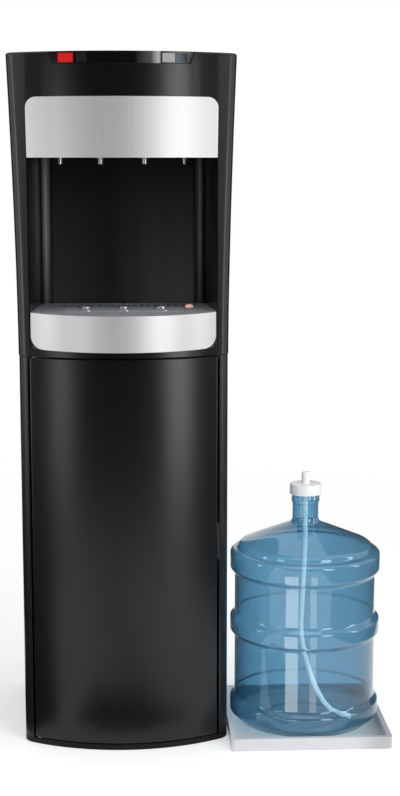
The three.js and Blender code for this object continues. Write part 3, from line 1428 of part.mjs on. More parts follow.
// The same profile drawn in by the wall, from the mouth back down to the base.
function innerProfile(points, wall) {
  const inner = points.map((point, i) => {
    const before = points[Math.max(i - 1, 0)];
    const after = points[Math.min(i + 1, points.length - 1)];
    const along = after.clone().sub(before).normalize();
    return at(Math.max(point.x - along.y * wall, 0), point.y + along.x * wall);
  });
  inner[0].x = 0;
  return inner.reverse();
}

function waterBottle() {
  const outer = bottleProfile();
  const geometry = turned([...outer, ...innerProfile(outer, BOTTLE_WALL)], BOTTLE_STEPS);
  geometry.translate(trayMiddle, trayMiddleY, bottleZ);
  return geometry;
}

// A cap over the mouth with the hose stub on top.
function probeCap() {
  const top = BOTTLE_MOUTH_Z + CAP_TOP;
  const inside = BOTTLE_NECK_RADIUS + GAP;
  const geometry = turned([
    at(0, BOTTLE_MOUTH_Z + GAP),
    at(inside, BOTTLE_MOUTH_Z + GAP),
    at(inside, top - CAP_HEIGHT),
    at(CAP_RADIUS, top - CAP_HEIGHT),
    at(CAP_RADIUS, top - CAP_BEVEL),
    at(CAP_RADIUS - CAP_BEVEL, top),
    at(STUB_RADIUS, top),
    at(STUB_RADIUS, top + STUB_HEIGHT),
    at(0, top + STUB_HEIGHT),
  ], BOTTLE_STEPS);
  geometry.translate(trayMiddle, trayMiddleY, bottleZ);
  return geometry;
}

// The flexible tube that hangs from the cap and curls to the right and front along the base.
function dipTube() {
  const path = DIP_CURVE.map(([x, y, z]) => [
    x * BOTTLE_BASE_RADIUS,
    y * BOTTLE_BASE_RADIUS,
    z * BOTTLE_MOUTH_Z,
  ]);
  const geometry = tube(path, DIP_RADIUS, 24);
  geometry.translate(trayMiddle, trayMiddleY, bottleZ);
  return geometry;
}

function addBottle() {
  piece("bottle_tray", bottleTray(), 0xd4d5d6, 0.45);
  piece("water_bottle", waterBottle(), 0x4f8fbd, 0.08);
  piece("probe_cap", probeCap(), WHITE, 0.4);
  piece("dip_tube", dipTube(), 0xcfe3ee, 0.3);
}

addCabinet();
addDoor();
addHead();
addAlcove();
addBasin();
addMachinery();
addRearFittings();
addBottle();

export default cooler;
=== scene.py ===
from math import asin, cos, pi, radians, sin, sqrt

import bmesh
import bpy
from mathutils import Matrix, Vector


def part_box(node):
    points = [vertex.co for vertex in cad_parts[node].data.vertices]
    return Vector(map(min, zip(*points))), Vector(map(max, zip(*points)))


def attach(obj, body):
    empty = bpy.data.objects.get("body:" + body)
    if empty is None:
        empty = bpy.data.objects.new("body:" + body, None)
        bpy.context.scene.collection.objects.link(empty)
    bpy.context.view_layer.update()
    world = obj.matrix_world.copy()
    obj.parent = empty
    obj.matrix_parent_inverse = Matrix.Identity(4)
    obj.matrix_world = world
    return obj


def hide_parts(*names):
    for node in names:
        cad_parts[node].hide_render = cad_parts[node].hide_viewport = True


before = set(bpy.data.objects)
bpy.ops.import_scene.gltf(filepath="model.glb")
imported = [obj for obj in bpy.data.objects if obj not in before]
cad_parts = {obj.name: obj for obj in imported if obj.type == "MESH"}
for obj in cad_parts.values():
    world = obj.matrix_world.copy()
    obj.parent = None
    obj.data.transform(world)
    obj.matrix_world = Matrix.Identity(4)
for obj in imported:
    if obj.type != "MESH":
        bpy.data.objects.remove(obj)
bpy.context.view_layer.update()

# ---------- Studio ----------
# A plain white sweep: a pale floor that runs out into an even white surround, two tall soft
# boxes in front, one at each side and one above. Dark cloths, which only reflections see,
# give the black and silver fronts something dark to mirror. The small one at the cabinet's
# foot is a painted shadow: it stands for the floor's shade there, which the door mirrors.

MM = 0.001
CAMERA_HEIGHT = 0.951
CAMERA_BACK = 2.578
CAMERA_TILT = radians(8.84)
CAMERA_TURN = radians(2.83)
LENS = 70.2
SENSOR = 36


class Tone:
    """One output of a node tree. Sums and products on it add Math nodes."""

    def __init__(self, nodes, socket):
        self.nodes = nodes
        self.socket = socket

    def math(self, operation, a, b):
        return self.nodes.node("ShaderNodeMath", {"operation": operation}, {0: a, 1: b})

    def __add__(self, other):
        return self.math("ADD", self, other)

    def __radd__(self, other):
        return self.math("ADD", other, self)

    def __sub__(self, other):
        return self.math("SUBTRACT", self, other)

    def __rsub__(self, other):
        return self.math("SUBTRACT", other, self)

    def __mul__(self, other):
        return self.math("MULTIPLY", self, other)

    def __rmul__(self, other):
        return self.math("MULTIPLY", other, self)

    def __pow__(self, other):
        return self.math("POWER", self, other)

    def __rpow__(self, other):
        return self.math("POWER", other, self)


class Nodes:
    """A node tree that every node joins by one method."""

    def __init__(self, tree):
        self.tree = tree

    def feed(self, socket, value):
        if isinstance(value, Tone):
            self.tree.links.new(value.socket, socket)
        else:
            socket.default_value = value

    def node(self, kind, settings=None, inputs=None, output=0):
        made = self.tree.nodes.new(kind)
        for name, value in (settings or {}).items():
            if name == "stops":
                for i, (place, colour) in enumerate(value):
                    stops = made.color_ramp.elements
                    stop = stops[i] if i < len(stops) else stops.new(place)
                    stop.position = place
                    stop.color = colour
            else:
                setattr(made, name, value)
        for name, value in (inputs or {}).items():
            self.feed(made.inputs[name], value)
        return Tone(self, made.outputs[output])

    def ray(self, *kinds):
        """How many of these kinds the ray is: 0 for a ray of any other kind."""
        first, *others = [self.node("ShaderNodeLightPath", output=f"Is {kind} Ray") for kind in kinds]
        return sum(others, first)

    def spread(self, value, start, end, low=0.0, smooth=False):
        """Runs from low to 1 while the value goes from start to end."""
        curve = "SMOOTHSTEP" if smooth else "LINEAR"
        inputs = {"Value": value, "From Min": start, "From Max": end, "To Min": low}
        return self.node("ShaderNodeMapRange", {"interpolation_type": curve}, inputs)

    def ramp(self, value, *stops):
        """Colours, or the greys of a mask, that follow a value from 0 to 1, each with its place."""
        colours = [(place, rgba(c if isinstance(c, tuple) else (c, c, c))) for place, c in stops]
        return self.node("ShaderNodeValToRGB", {"stops": colours}, {"Fac": value})


class Finish(Nodes):
    """A procedural material. Its constants sit on the shader and its variation comes from nodes."""

    def __init__(self, name, **constants):
        self.material = bpy.data.materials.new(name)
        self.material.use_nodes = True
        super().__init__(self.material.node_tree)
        self.shader = self.tree.nodes["Principled BSDF"]
        self.set(**constants)

    def set(self, **values):
        for name, value in values.items():
            self.feed(self.shader.inputs[name.replace("_", " ")], value)

    def glow(self, colour, strength):
        self.set(Emission_Color=rgba(colour), Emission_Strength=strength)

    def place(self, stretch=(1, 1, 1)):
        """Position on the object in metres, stretched along its axes."""
        here = self.node("ShaderNodeTexCoord", output="Object")
        return self.node("ShaderNodeVectorMath", {"operation": "MULTIPLY"}, {0: here, 1: stretch})

    def along(self, axis):
        return self.node("ShaderNodeSeparateXYZ", {}, {"Vector": self.place()}, output=axis)

    def noise(self, scale, detail=2.0, stretch=(1, 1, 1)):
        """A cloud of values round 0.5, with so many lumps a metre."""
        inputs = {"Vector": self.place(stretch), "Scale": scale, "Detail": detail}
        return self.node("ShaderNodeTexNoise", {}, inputs)

    def blend(self, factor, a, b):
        """Colour a where factor is 0 and colour b where it is 1."""
        sockets = {0: factor, 6: a, 7: b}
        return self.node("ShaderNodeMix", {"data_type": "RGBA"}, sockets, output=2)

    def bump(self, height, depth):
        self.set(Normal=self.node("ShaderNodeBump", {}, {"Height": height, "Distance": depth}))


def rgba(colour, shade=1.0):
    return (*(min(channel * shade, 1.0) for channel in colour), 1.0)


def plain_card(name, corners, finish, only_reflected=False):
    """One flat face. A card that is only reflected neither shows, nor shades the room."""
    mesh = bpy.data.meshes.new(name)
    mesh.from_pydata(corners, [], [tuple(range(len(corners)))])
    card = bpy.data.objects.new(name, mesh)
    bpy.context.scene.collection.objects.link(card)
    card.data.materials.append(finish.material)
    if only_reflected:
        card.visible_camera = card.visible_shadow = False
        card.visible_diffuse = card.visible_transmission = False
    return card


camera = bpy.data.objects.new("camera", bpy.data.cameras.new("camera"))
bpy.context.scene.collection.objects.link(camera)
camera.location = (0, -CAMERA_BACK, CAMERA_HEIGHT)
camera.rotation_euler = (pi / 2 - CAMERA_TILT, 0, -CAMERA_TURN)
camera.data.lens = LENS
camera.data.sensor_width = SENSOR
bpy.context.scene.camera = camera
bpy.context.scene.view_settings.view_transform = "Standard"

FLOOR_REACH = 12
FLOOR_Z = -0.4 * MM
FLOOR_GREY = 0.86
FLOOR_LIFT = 0.26  # of full white, added to what the lamps leave on the floor
FADE_START, FADE_END = 0.9, 2.3
BLACK, WHITE = rgba((0, 0, 0)), rgba((1, 1, 1))

floor_finish = Finish("pale_floor", Roughness=0.9, Specular_IOR_Level=0.0, Emission_Strength=1.0)
away = floor_finish.node("ShaderNodeVectorMath", {"operation": "LENGTH"},
                         {0: floor_finish.place()}, output=1)
fade = floor_finish.spread(away, FADE_START, FADE_END, smooth=True)
white = floor_finish.ray("Camera", "Glossy", "Transmission") * (FLOOR_LIFT + (1 - FLOOR_LIFT) * fade)
floor_finish.set(
    Base_Color=floor_finish.blend(fade, rgba((FLOOR_GREY, FLOOR_GREY, FLOOR_GREY)), BLACK),
    Emission_Color=floor_finish.blend(white, BLACK, WHITE),
)
plain_card("floor", [(-FLOOR_REACH, -FLOOR_REACH, FLOOR_Z), (FLOOR_REACH, -FLOOR_REACH, FLOOR_Z),
                     (FLOOR_REACH, FLOOR_REACH, FLOOR_Z), (-FLOOR_REACH, FLOOR_REACH, FLOOR_Z)],
           floor_finish)

CLOTH_TOP = 3.2
FRONT_CLOTH_Y = -3.3
FRONT_CLOTH_LEFT, FRONT_CLOTH_RIGHT = -2.0, 1.7
WING_X, WING_Y = 3.1, -0.9  # where the wings that flank the front cloth end
BACK_CLOTH_Y = 1.6
BACK_CLOTH_INNER, BACK_CLOTH_OUTER = 0.5, 2.7
FLOOR_CLOTH_Y = -1.65  # the floor in front of this line is dark
SIDE_CLOTH_REAR_Y = 1.5
RIGHT_CLOTH_X = 0.8
LEFT_CLOTH_EDGE = ((-1.15, FLOOR_CLOTH_Y), (-0.78, -0.72), (-0.42, -0.44), (-0.2, -0.25),
                   (-0.2, 0.1), (-0.5, 0.3), (-0.5, SIDE_CLOTH_REAR_Y))
FOOT_SHADE_LEFT, FOOT_SHADE_RIGHT = -0.16, 0.2
FOOT_SHADE_FRONT, FOOT_SHADE_REAR = -0.46, -0.26

cloth_finish = Finish("dark_cloth", Roughness=1.0, Base_Color=rgba((0.012, 0.012, 0.012)),
                      Specular_IOR_Level=0.0)


def hang_cloth(name, x0, y0, x1, y1):
    """A cloth that hangs between two places on the floor."""
    corners = [(x0, y0, 0), (x1, y1, 0), (x1, y1, CLOTH_TOP), (x0, y0, CLOTH_TOP)]
    plain_card(name, corners, cloth_finish, only_reflected=True)


def lay_cloth(name, corners):
    """A cloth that lies on the floor."""
    plain_card(name, [(x, y, 0) for x, y in corners], cloth_finish, only_reflected=True)


def rectangle(left, right, front, rear):
    return (left, front), (right, front), (right, rear), (left, rear)


hang_cloth("front_cloth", FRONT_CLOTH_LEFT, FRONT_CLOTH_Y, FRONT_CLOTH_RIGHT, FRONT_CLOTH_Y)
lay_cloth("floor_cloth", rectangle(FRONT_CLOTH_LEFT, FRONT_CLOTH_RIGHT, FRONT_CLOTH_Y, FLOOR_CLOTH_Y))
lay_cloth("left_floor_cloth",
          ((-WING_X, FLOOR_CLOTH_Y), *LEFT_CLOTH_EDGE, (-WING_X, SIDE_CLOTH_REAR_Y)))
lay_cloth("right_floor_cloth", rectangle(RIGHT_CLOTH_X, WING_X, FLOOR_CLOTH_Y, SIDE_CLOTH_REAR_Y))
# A painted shadow: a dark sheet, seen only in reflections, that stands for the floor's shade at the
# cabinet's foot as the door mirrors it.
lay_cloth("painted_foot_shade",
          rectangle(FOOT_SHADE_LEFT, FOOT_SHADE_RIGHT, FOOT_SHADE_FRONT, FOOT_SHADE_REAR))
for side, name, edge in ((-1, "left", FRONT_CLOTH_LEFT), (1, "right", FRONT_CLOTH_RIGHT)):
    hang_cloth(f"{name}_back_cloth", side * BACK_CLOTH_INNER, BACK_CLOTH_Y,
               side * BACK_CLOTH_OUTER, BACK_CLOTH_Y)
    hang_cloth(f"{name}_wing_cloth", edge, FRONT_CLOTH_Y, side * WING_X, WING_Y)

SURROUND_LIGHT = 0.72  # of the white that the camera, reflections and glass see

surround = bpy.data.worlds.new("white_surround")
surround.use_nodes = True
bpy.context.scene.world = surround
sky = Nodes(surround.node_tree)
background = sky.tree.nodes["Background"]
sky.feed(background.inputs["Color"], WHITE)
seen = sky.ray("Camera", "Glossy", "Transmission")
sky.feed(background.inputs["Strength"], sky.spread(seen, 0, 1, SURROUND_LIGHT))

SOFT_BOXES = (  # name, place, what it points at, width, height, radiance
    ("right_soft_box", (1.29, -1.85, 0.85), (0, 0, 0.65), 0.58, 1.7, 5.9),
    ("left_soft_box", (-1.45, -1.72, 0.56), (0, 0, 0.5), 0.5, 1.12, 3.2),
    ("top_soft_box", (0.2, -0.9, 2.9), (0, 0, 0.7), 1.6, 1.2, 1.6),
    ("left_edge_box", (-2.1, -0.55, 0.85), (-0.17, -0.1, 0.65), 0.3, 1.9, 5.2),
    ("right_edge_box", (2.1, -0.55, 0.85), (0.17, -0.1, 0.65), 0.3, 1.9, 5.2),
)
for name, place, aim, width, height, radiance in SOFT_BOXES:
    lamp = bpy.data.lights.new(name, "AREA")
    lamp.shape = "RECTANGLE"
    lamp.size = width
    lamp.size_y = height
    lamp.energy = radiance * pi * width * height
    box = bpy.data.objects.new(name, lamp)
    bpy.context.scene.collection.objects.link(box)
    box.location = place
    box.rotation_euler = (Vector(aim) - Vector(place)).to_track_quat("-Z", "Y").to_euler()
    box.visible_camera = False

# ---------- Lower cabinet ----------
# A black moulded plinth carries two folded steel flanks, powder coated black, and a flat
# painted steel back. A galvanised shelf closes the bottle's bay at its top.

FLAT_ANGLE = radians(0.6)  # faces that meet at less than this are one flat face


def soften(name, finish, width, angle=30):
    """Gives a carried-over solid its finish, and breaks its sharp edges by so many millimetres."""
    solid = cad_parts[name]
    solid.data.shade_smooth()
    solid.data.materials.clear()
    solid.data.materials.append(finish.material)
    flat = solid.modifiers.new("flat_faces", "DECIMATE")
    flat.decimate_type = "DISSOLVE"
    flat.angle_limit = FLAT_ANGLE
    edge = solid.modifiers.new("broken_edges", "BEVEL")
    edge.width = width * MM
    edge.segments = 2
    edge.limit_method = "ANGLE"
    edge.angle_limit = radians(angle)
    edge.use_clamp_overlap = True
    shade = solid.modifiers.new("even_shade", "WEIGHTED_NORMAL")
    shade.weight = 100
    shade.keep_sharp = True


GRAIN = 0.9 * MM
GRAIN_DEPTH = 0.02 * MM
POLISHED_DEPTH = 0.002 * MM  # the grain that a gloss or satin mould leaves
GLOSS_DRIFT, SHADE_DRIFT = 40, 7  # lumps a metre


def grained(name, roughness, grain=GRAIN, depth=GRAIN_DEPTH, level=0.5):
    """Plastic or powder coat without its colour: a fine grain, and a slow drift in gloss."""
    finish = Finish(name, Specular_IOR_Level=level)
    finish.set(Roughness=roughness + 0.03 * (finish.noise(GLOSS_DRIFT, 3.0) - 0.5))
    finish.bump(finish.noise(1 / grain, 3.0), depth)
    return finish


def moulded(name, colour, roughness, **surface):
    """Plastic or powder coat, with a slow drift in shade."""
    finish = grained(name, roughness, **surface)
    drift = finish.noise(SHADE_DRIFT, 3.0)
    finish.set(Base_Color=finish.blend(drift, rgba(colour, 0.86), rgba(colour, 1.16)))
    return finish


def sheet_metal(name, colour, roughness, stretch, scale=1.0, metallic=1.0):
    """Bare sheet: streaks along the way that it was rolled or brushed."""
    finish = Finish(name, Metallic=metallic)
    streak = finish.noise(scale, 3.0, stretch)
    fine = finish.noise(scale * 3, 2.0, stretch)
    finish.set(
        Base_Color=finish.blend(streak, rgba(colour, 0.9), rgba(colour, 1.1)),
        Roughness=roughness + 0.1 * (fine - 0.5),
    )
    finish.bump(fine, 0.004 * MM)
    return finish


powder_coat = moulded("powder_coat", (0.0045, 0.0045, 0.005), 0.32, depth=0.003 * MM, level=0.4)
plinth_black = moulded("plinth_black", (0.004, 0.004, 0.0045), 0.45, level=0.18)
rear_paint = moulded("rear_paint", (0.014, 0.014, 0.015), 0.52)
galvanised = Finish("galvanised", Metallic=1.0)
spangle = galvanised.node("ShaderNodeTexVoronoi", {"feature": "F1"},
                          {"Vector": galvanised.place(), "Scale": 130.0}, output="Color")
spangle_tone = galvanised.node("ShaderNodeSeparateColor", {}, {"Color": spangle})
galvanised.set(
    Base_Color=galvanised.blend(spangle_tone, rgba((0.42, 0.44, 0.46)), rgba((0.6, 0.62, 0.64))),
    Roughness=0.34 + 0.14 * spangle_tone,
)

soften("base_pan", plinth_black, 1.2)
soften("rear_panel", rear_paint, 0.4)
soften("machine_shelf", galvanised, 0.3)

FRONT_Y = -175 * MM
BOW_RADIUS = 300 * MM
CORNER_RADIUS = 26 * MM
CORNER_STEPS = 18
BODY_HALF = 166.5 * MM
PANEL_EDGE_X = 152 * MM
PANEL_SHEET = 1.2 * MM
PANEL_FLANGE = 14 * MM


def new_piece(name, verts, faces, finish, outwards=True):
    """A new smooth-shaded piece from points and faces."""
    mesh = bpy.data.meshes.new(name)
    mesh.from_pydata(verts, [], faces)
    if outwards:
        shape = bmesh.new()
        shape.from_mesh(mesh)
        bmesh.ops.recalc_face_normals(shape, faces=shape.faces)
        shape.to_mesh(mesh)
        shape.free()
    mesh.validate()
    mesh.shade_smooth()
    piece = bpy.data.objects.new(name, mesh)
    bpy.context.scene.collection.objects.link(piece)
    mesh.materials.append(finish.material)
    return piece


def round_edges(piece, width, segments=3, angle=35):
    edge = piece.modifiers.new("round_edges", "BEVEL")
    edge.width = width
    edge.segments = segments
    edge.limit_method = "ANGLE"
    edge.angle_limit = radians(angle)
    shade = piece.modifiers.new("even_shade", "WEIGHTED_NORMAL")
    shade.weight = 100


def ring_prism(name, ring, z0, z1, finish):
    """An outline in X and Y, run up from z0 to z1."""
    count = len(ring)
    verts = [(x, y, z) for z in (z0, z1) for x, y in ring]
    faces = [(i, (i + 1) % count, (i + 1) % count + count, i + count) for i in range(count)]
    faces += [tuple(range(count)), tuple(range(count, 2 * count))]
    return new_piece(name, verts, faces, finish)


def front_corner(half, inset):
    """The rounded front corner at the right, seen from above, from the bow to the flank."""
    arm = BOW_RADIUS - CORNER_RADIUS
    side = half - CORNER_RADIUS
    meeting = asin(side / arm)
    middle_y = FRONT_Y + BOW_RADIUS - arm * cos(meeting)
    reach = CORNER_RADIUS - inset
    turns = [meeting + (pi / 2 - meeting) * i / CORNER_STEPS for i in range(CORNER_STEPS + 1)]
    return [(side + reach * sin(t), middle_y - reach * cos(t)) for t in turns]


def bow_point(x, inset):
    """The place on the bowed front at this x, drawn in by inset."""
    return x, FRONT_Y + BOW_RADIUS - sqrt((BOW_RADIUS - inset) ** 2 - x * x)


panel_low, panel_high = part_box("right_side_panel")
panel_ring = (
    [bow_point(PANEL_EDGE_X, 0)] + front_corner(BODY_HALF, 0)
    + [(BODY_HALF, panel_high.y), (BODY_HALF - PANEL_FLANGE, panel_high.y),
       (BODY_HALF - PANEL_FLANGE, panel_high.y - PANEL_SHEET),
       (BODY_HALF - PANEL_SHEET, panel_high.y - PANEL_SHEET)]
    + front_corner(BODY_HALF, PANEL_SHEET)[::-1] + [bow_point(PANEL_EDGE_X, PANEL_SHEET)]
)
for side, name in ((1, "right"), (-1, "left")):
    ring = [(side * x, y) for x, y in panel_ring]
    panel = ring_prism(f"{name}_flank", ring, panel_low.z, panel_high.z, powder_coat)
    round_edges(panel, 0.4 * MM, 2)
    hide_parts(f"{name}_side_panel")
    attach(panel, "cabinet")

# ---------- Door ----------
# One bowed skin, moulded in satin black with a shallow return all round, snapped over a
# ribbed liner. It turns on two pins at its left edge and closes on a magnet at its right.

DOOR_HALF = 149.5 * MM
DOOR_DEPTH = 14.5 * MM
DOOR_SKIN = 2.5 * MM
DOOR_EDGE = 2.4 * MM
DOOR_EDGE_LEAN = 0.55  # how far the edge's round leans back with the bow, in edge radii
DOOR_EDGE_STEPS = 6
DOOR_BOW_STEPS = 96


def bow_arc(half, inset, steps):
    """Points along the bow, seen from above, from left to right."""
    radius = BOW_RADIUS - inset
    reach = asin(half / radius)
    turns = [-reach + 2 * reach * i / steps for i in range(steps + 1)]
    return [(radius * sin(t), FRONT_Y + BOW_RADIUS - radius * cos(t)) for t in turns]


def door_edge_round(side):
    """The rounded upright edge between the bow and the return, from the bow."""
    x, y = bow_point(DOOR_HALF - DOOR_EDGE, 0)
    turns = [pi / 2 * i / DOOR_EDGE_STEPS for i in range(1, DOOR_EDGE_STEPS + 1)]
    return [(side * (x + DOOR_EDGE * sin(t)),
             y + DOOR_EDGE * (1 - cos(t)) + DOOR_EDGE_LEAN * DOOR_EDGE * sin(t)) for t in turns]


door_black = moulded("door_black", (0.003, 0.003, 0.0035), 0.28, depth=POLISHED_DEPTH, level=0.4)
liner_black = moulded("liner_black", (0.02, 0.02, 0.021), 0.55)
door_low, door_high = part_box("door_skin")
return_left, return_right = bow_arc(DOOR_HALF, DOOR_DEPTH, 1)
inside_left, inside_right = bow_arc(DOOR_HALF - DOOR_SKIN, DOOR_DEPTH, 1)
inside_bow = bow_arc(DOOR_HALF - DOOR_SKIN, DOOR_SKIN, DOOR_BOW_STEPS // 2)
door_ring = (bow_arc(DOOR_HALF - DOOR_EDGE, 0, DOOR_BOW_STEPS) + door_edge_round(1)
             + [return_right, inside_right] + inside_bow[::-1] + [inside_left, return_left]
             + door_edge_round(-1)[::-1])
door_panel = ring_prism("door_panel", door_ring, door_low.z, door_high.z, door_black)
round_edges(door_panel, 1.1 * MM)
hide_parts("door_skin")
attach(door_panel, "door")

soften("door_liner", liner_black, 0.5)
for name in ("door_strike", "door_catch", "hinge_pin_lower", "hinge_pin_upper"):
    soften(name, galvanised, 0.3)

# ---------- Head shell ----------
# One flared frame moulded in satin black wraps the front and both front corners, open at the
# alcove, behind the trim plate and at the display. Two flank covers meet it at a fine seam,
# and a flat lid drops in between them.

SEAM_Z = 639 * MM
HEAD_FOOT_HALF = 167.5 * MM
HEAD_FLARE = 12.9 * MM
HEAD_RISE = 471 * MM
FLARE_POWER = 1.6
HEAD_WALL = 3 * MM
TOP_Z = SEAM_Z + HEAD_RISE
RIM_RADIUS = 4 * MM
RIM_STEPS = 7
ALCOVE_FOOT_Z, ALCOVE_TOP_Z = 651.7 * MM, 950.5 * MM
ALCOVE_LEVELS = 9
OPENING_STEPS = (  # height, and the half width of the opening up to there
    (ALCOVE_TOP_Z, 147 * MM), (1028 * MM, 148.8 * MM), (1035 * MM, 145 * MM), (1040.5 * MM, 138 * MM),
)
NOTCH_Z = 1091 * MM
NOTCH_HALF, NOTCH_SLOPE = 105.2 * MM, 0.42
MARK_PITCH = 4 * MM  # between the points across the notch
MARKS_IN_NOTCH = 26
MARKS_BESIDE = (118, 122, 126, 130, 134, 138, 141.5, 145, 147, 148.8, 150)  # from the notch outwards
TRIM_LEVELS = (976 * MM, 1002 * MM)  # behind the trim plate, below its round corners
RIM_LEVELS = (1058 * MM, 1075 * MM, NOTCH_Z, 1098.5 * MM)
LAND_STEPS = (1 / 3, 2 / 3)  # from the last mark to the corner
FLANK_STEPS = (0.3, 0.65, 1)  # from the corner to the seam


def head_half(z):
    return HEAD_FOOT_HALF + HEAD_FLARE * (max(z - SEAM_Z, 0) / HEAD_RISE) ** FLARE_POWER


def notch_half(z):
    return NOTCH_HALF + NOTCH_SLOPE * max(z - NOTCH_Z, 0)


def head_row(z, inset, rear_y):
    """The right half of the fascia's outline at height z, drawn in by inset, from the middle."""
    marks = [MARK_PITCH * i for i in range(MARKS_IN_NOTCH)] + [notch_half(z)]
    marks += [x * MM for x in MARKS_BESIDE]
    row = [bow_point(x * (1 - inset / BOW_RADIUS), inset) for x in marks]
    corner = front_corner(head_half(z), inset)
    edge = Vector(row[-1])
    row += [tuple(edge.lerp(Vector(corner[0]), t)) for t in LAND_STEPS] + corner
    x, y = corner[-1]
    return row + [(x, y + (rear_y - y) * t) for t in FLANK_STEPS]


def fascia_open(x, z):
    """Whether the fascia has a hole at this place on its bow."""
    if z > NOTCH_Z:
        return abs(x) < notch_half(z)
    return z >= ALCOVE_FOOT_Z and any(z < top and abs(x) < half for top, half in OPENING_STEPS)


shell_black = moulded("shell_black", (0.0035, 0.0035, 0.004), 0.28, depth=POLISHED_DEPTH, level=0.4)
fascia_low, fascia_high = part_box("head_fascia")
levels = [(fascia_low.z, 0), (ALCOVE_FOOT_Z, 0)]
levels += [(ALCOVE_FOOT_Z + (ALCOVE_TOP_Z - ALCOVE_FOOT_Z) * i / ALCOVE_LEVELS, 0)
           for i in range(1, ALCOVE_LEVELS + 1)]
corner_levels = [top for top, half in OPENING_STEPS[1:]]
levels += [(z, 0) for z in (*TRIM_LEVELS, *corner_levels, *RIM_LEVELS)]
levels += [(TOP_Z - RIM_RADIUS + RIM_RADIUS * sin(pi / 2 * i / RIM_STEPS),
            RIM_RADIUS * (1 - cos(pi / 2 * i / RIM_STEPS))) for i in range(RIM_STEPS + 1)]
verts = []
for wall in (0, HEAD_WALL):
    for z, inset in levels:
        half_row = head_row(z, inset + wall, fascia_high.y)
        row = [(-x, y) for x, y in half_row[:0:-1]] + half_row
        verts += [(x, y, z) for x, y in row]
width = len(row)
inside = len(levels) * width  # the inner wall's first point
faces, rims = [], {}
for r in range(len(levels) - 1):
    for c in range(width - 1):
        a = r * width + c
        quad = (a, a + 1, a + width + 1, a + width)
        middle_x = sum(verts[i][0] for i in quad) / 4
        middle_z = (verts[a][2] + verts[a + width][2]) / 2
        if abs(middle_x) < PANEL_EDGE_X and fascia_open(middle_x, middle_z):
            continue
        faces += [quad, tuple(inside + i for i in quad[::-1])]
        for p, q in zip(quad, quad[1:] + quad[:1]):
            if rims.pop((q, p), None) is None:
                rims[p, q] = True
faces += [(q, p, p + inside, q + inside) for p, q in rims]
fascia = new_piece("fascia_shell", verts, faces, shell_black, outwards=False)
loose = bmesh.new()
loose.from_mesh(fascia.data)
bmesh.ops.delete(loose, geom=[v for v in loose.verts if not v.link_faces], context="VERTS")
loose.to_mesh(fascia.data)
loose.free()
round_edges(fascia, 0.5 * MM, 2, 50)
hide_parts("head_fascia")
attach(fascia, "cabinet")
soften("right_head_cover", shell_black, 0.6)
soften("left_head_cover", shell_black, 0.6)
soften("lid", shell_black, 0.8)

# ---------- Upper trim plate ----------
# A thin plate of brushed silver follows the bow above the alcove. Its top corners are
# rounded, and it is clipped over the fascia's opening.

TRIM_TOP_HALF = 149.5 * MM
TRIM_BOTTOM_HALF = 148.4 * MM
TRIM_CORNER = 16.5 * MM
TRIM_SHEET = 1.2 * MM
TRIM_BOTTOM_Z = 949.5 * MM
TRIM_TOP_Z = 1042 * MM
TRIM_PROUD = 0.3 * MM
TRIM_STEPS, TRIM_CORNER_STEPS = 40, 12  # on each side of the middle
BRUSHING = (240, 240, 1.6)  # the strokes are fine across and long upwards


def bowed_plate(name, columns, radius, front, sheet, finish):
    """A plate on a bow. Each column is the x and z of its lower and its upper end."""
    verts = []
    for depth in (0, sheet):
        for low_x, low_z, high_x, high_z in columns:
            for x, z in ((low_x, low_z), (high_x, high_z)):
                turn = asin(x / radius)
                reach = radius - depth
                verts.append((reach * sin(turn), front + radius - reach * cos(turn), z))
    count = len(columns)
    faces = []
    for i in range(count - 1):
        a, b = 2 * i, 2 * i + 2
        c, d = a + 2 * count, b + 2 * count
        faces += [(a, b, b + 1, a + 1), (c, c + 1, d + 1, d)]
        faces += [(a, c, d, b), (a + 1, b + 1, d + 1, c + 1)]
    last = 2 * count - 2
    faces += [(0, 1, 2 * count + 1, 2 * count),
              (last, last + 2 * count, last + 2 * count + 1, last + 1)]
    return new_piece(name, verts, faces, finish)


def silver(name, shade):
    """Brushed silver: fine upright strokes over a broad satin sheen."""
    finish = Finish(name, Metallic=0.85)
    stroke = finish.noise(1.0, 4.0, BRUSHING)
    hair = finish.noise(4.0, 2.0, BRUSHING)
    dark, light = rgba((0.55, 0.555, 0.56), shade), rgba((0.61, 0.615, 0.62), shade)
    finish.set(Base_Color=finish.blend(0.6 * stroke + 0.4 * hair, dark, light),
               Roughness=0.45 + 0.12 * hair)
    finish.bump(hair, 0.006 * MM)
    return finish


def plate_places(half, corner, straight_steps, corner_steps):
    """Places across a plate with two round corners: x, and how far it has turned the corner."""
    straight = half - corner
    right = [straight * i / straight_steps for i in range(straight_steps)]
    right += [straight + corner * sin(pi / 2 * i / corner_steps) for i in range(corner_steps + 1)]
    places = [-x for x in right[:0:-1]] + right
    return [(x, max(abs(x) - straight, 0)) for x in places]


columns = []
for x, over in plate_places(TRIM_TOP_HALF, TRIM_CORNER, TRIM_STEPS, TRIM_CORNER_STEPS):
    top = TRIM_TOP_Z - TRIM_CORNER + sqrt(max(TRIM_CORNER ** 2 - over ** 2, 0))
    columns.append((x * TRIM_BOTTOM_HALF / TRIM_TOP_HALF, TRIM_BOTTOM_Z, x, top))
trim = bowed_plate("upper_trim", columns, BOW_RADIUS + TRIM_PROUD, FRONT_Y - TRIM_PROUD,
                   TRIM_SHEET, silver("brushed_silver", 1.17))
round_edges(trim, 0.5 * MM)
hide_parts("upper_trim_plate")
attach(trim, "cabinet")

# ---------- Display strip ----------
# A gloss black strip let into the top edge, with four small acrylic windows set into its
# face: a red one and an unlit one at the left, a grey one and a dark blue one at the right.

STRIP_SETBACK = 0.6 * MM
STRIP_STEPS = 48
REFLECTION_END_X = 100 * MM  # the strip's painted reflection is laid out from its middle to here
WINDOW_SETBACK = 0.5 * MM
WINDOW_SHEET = 0.8 * MM
WINDOW_STEPS = 12
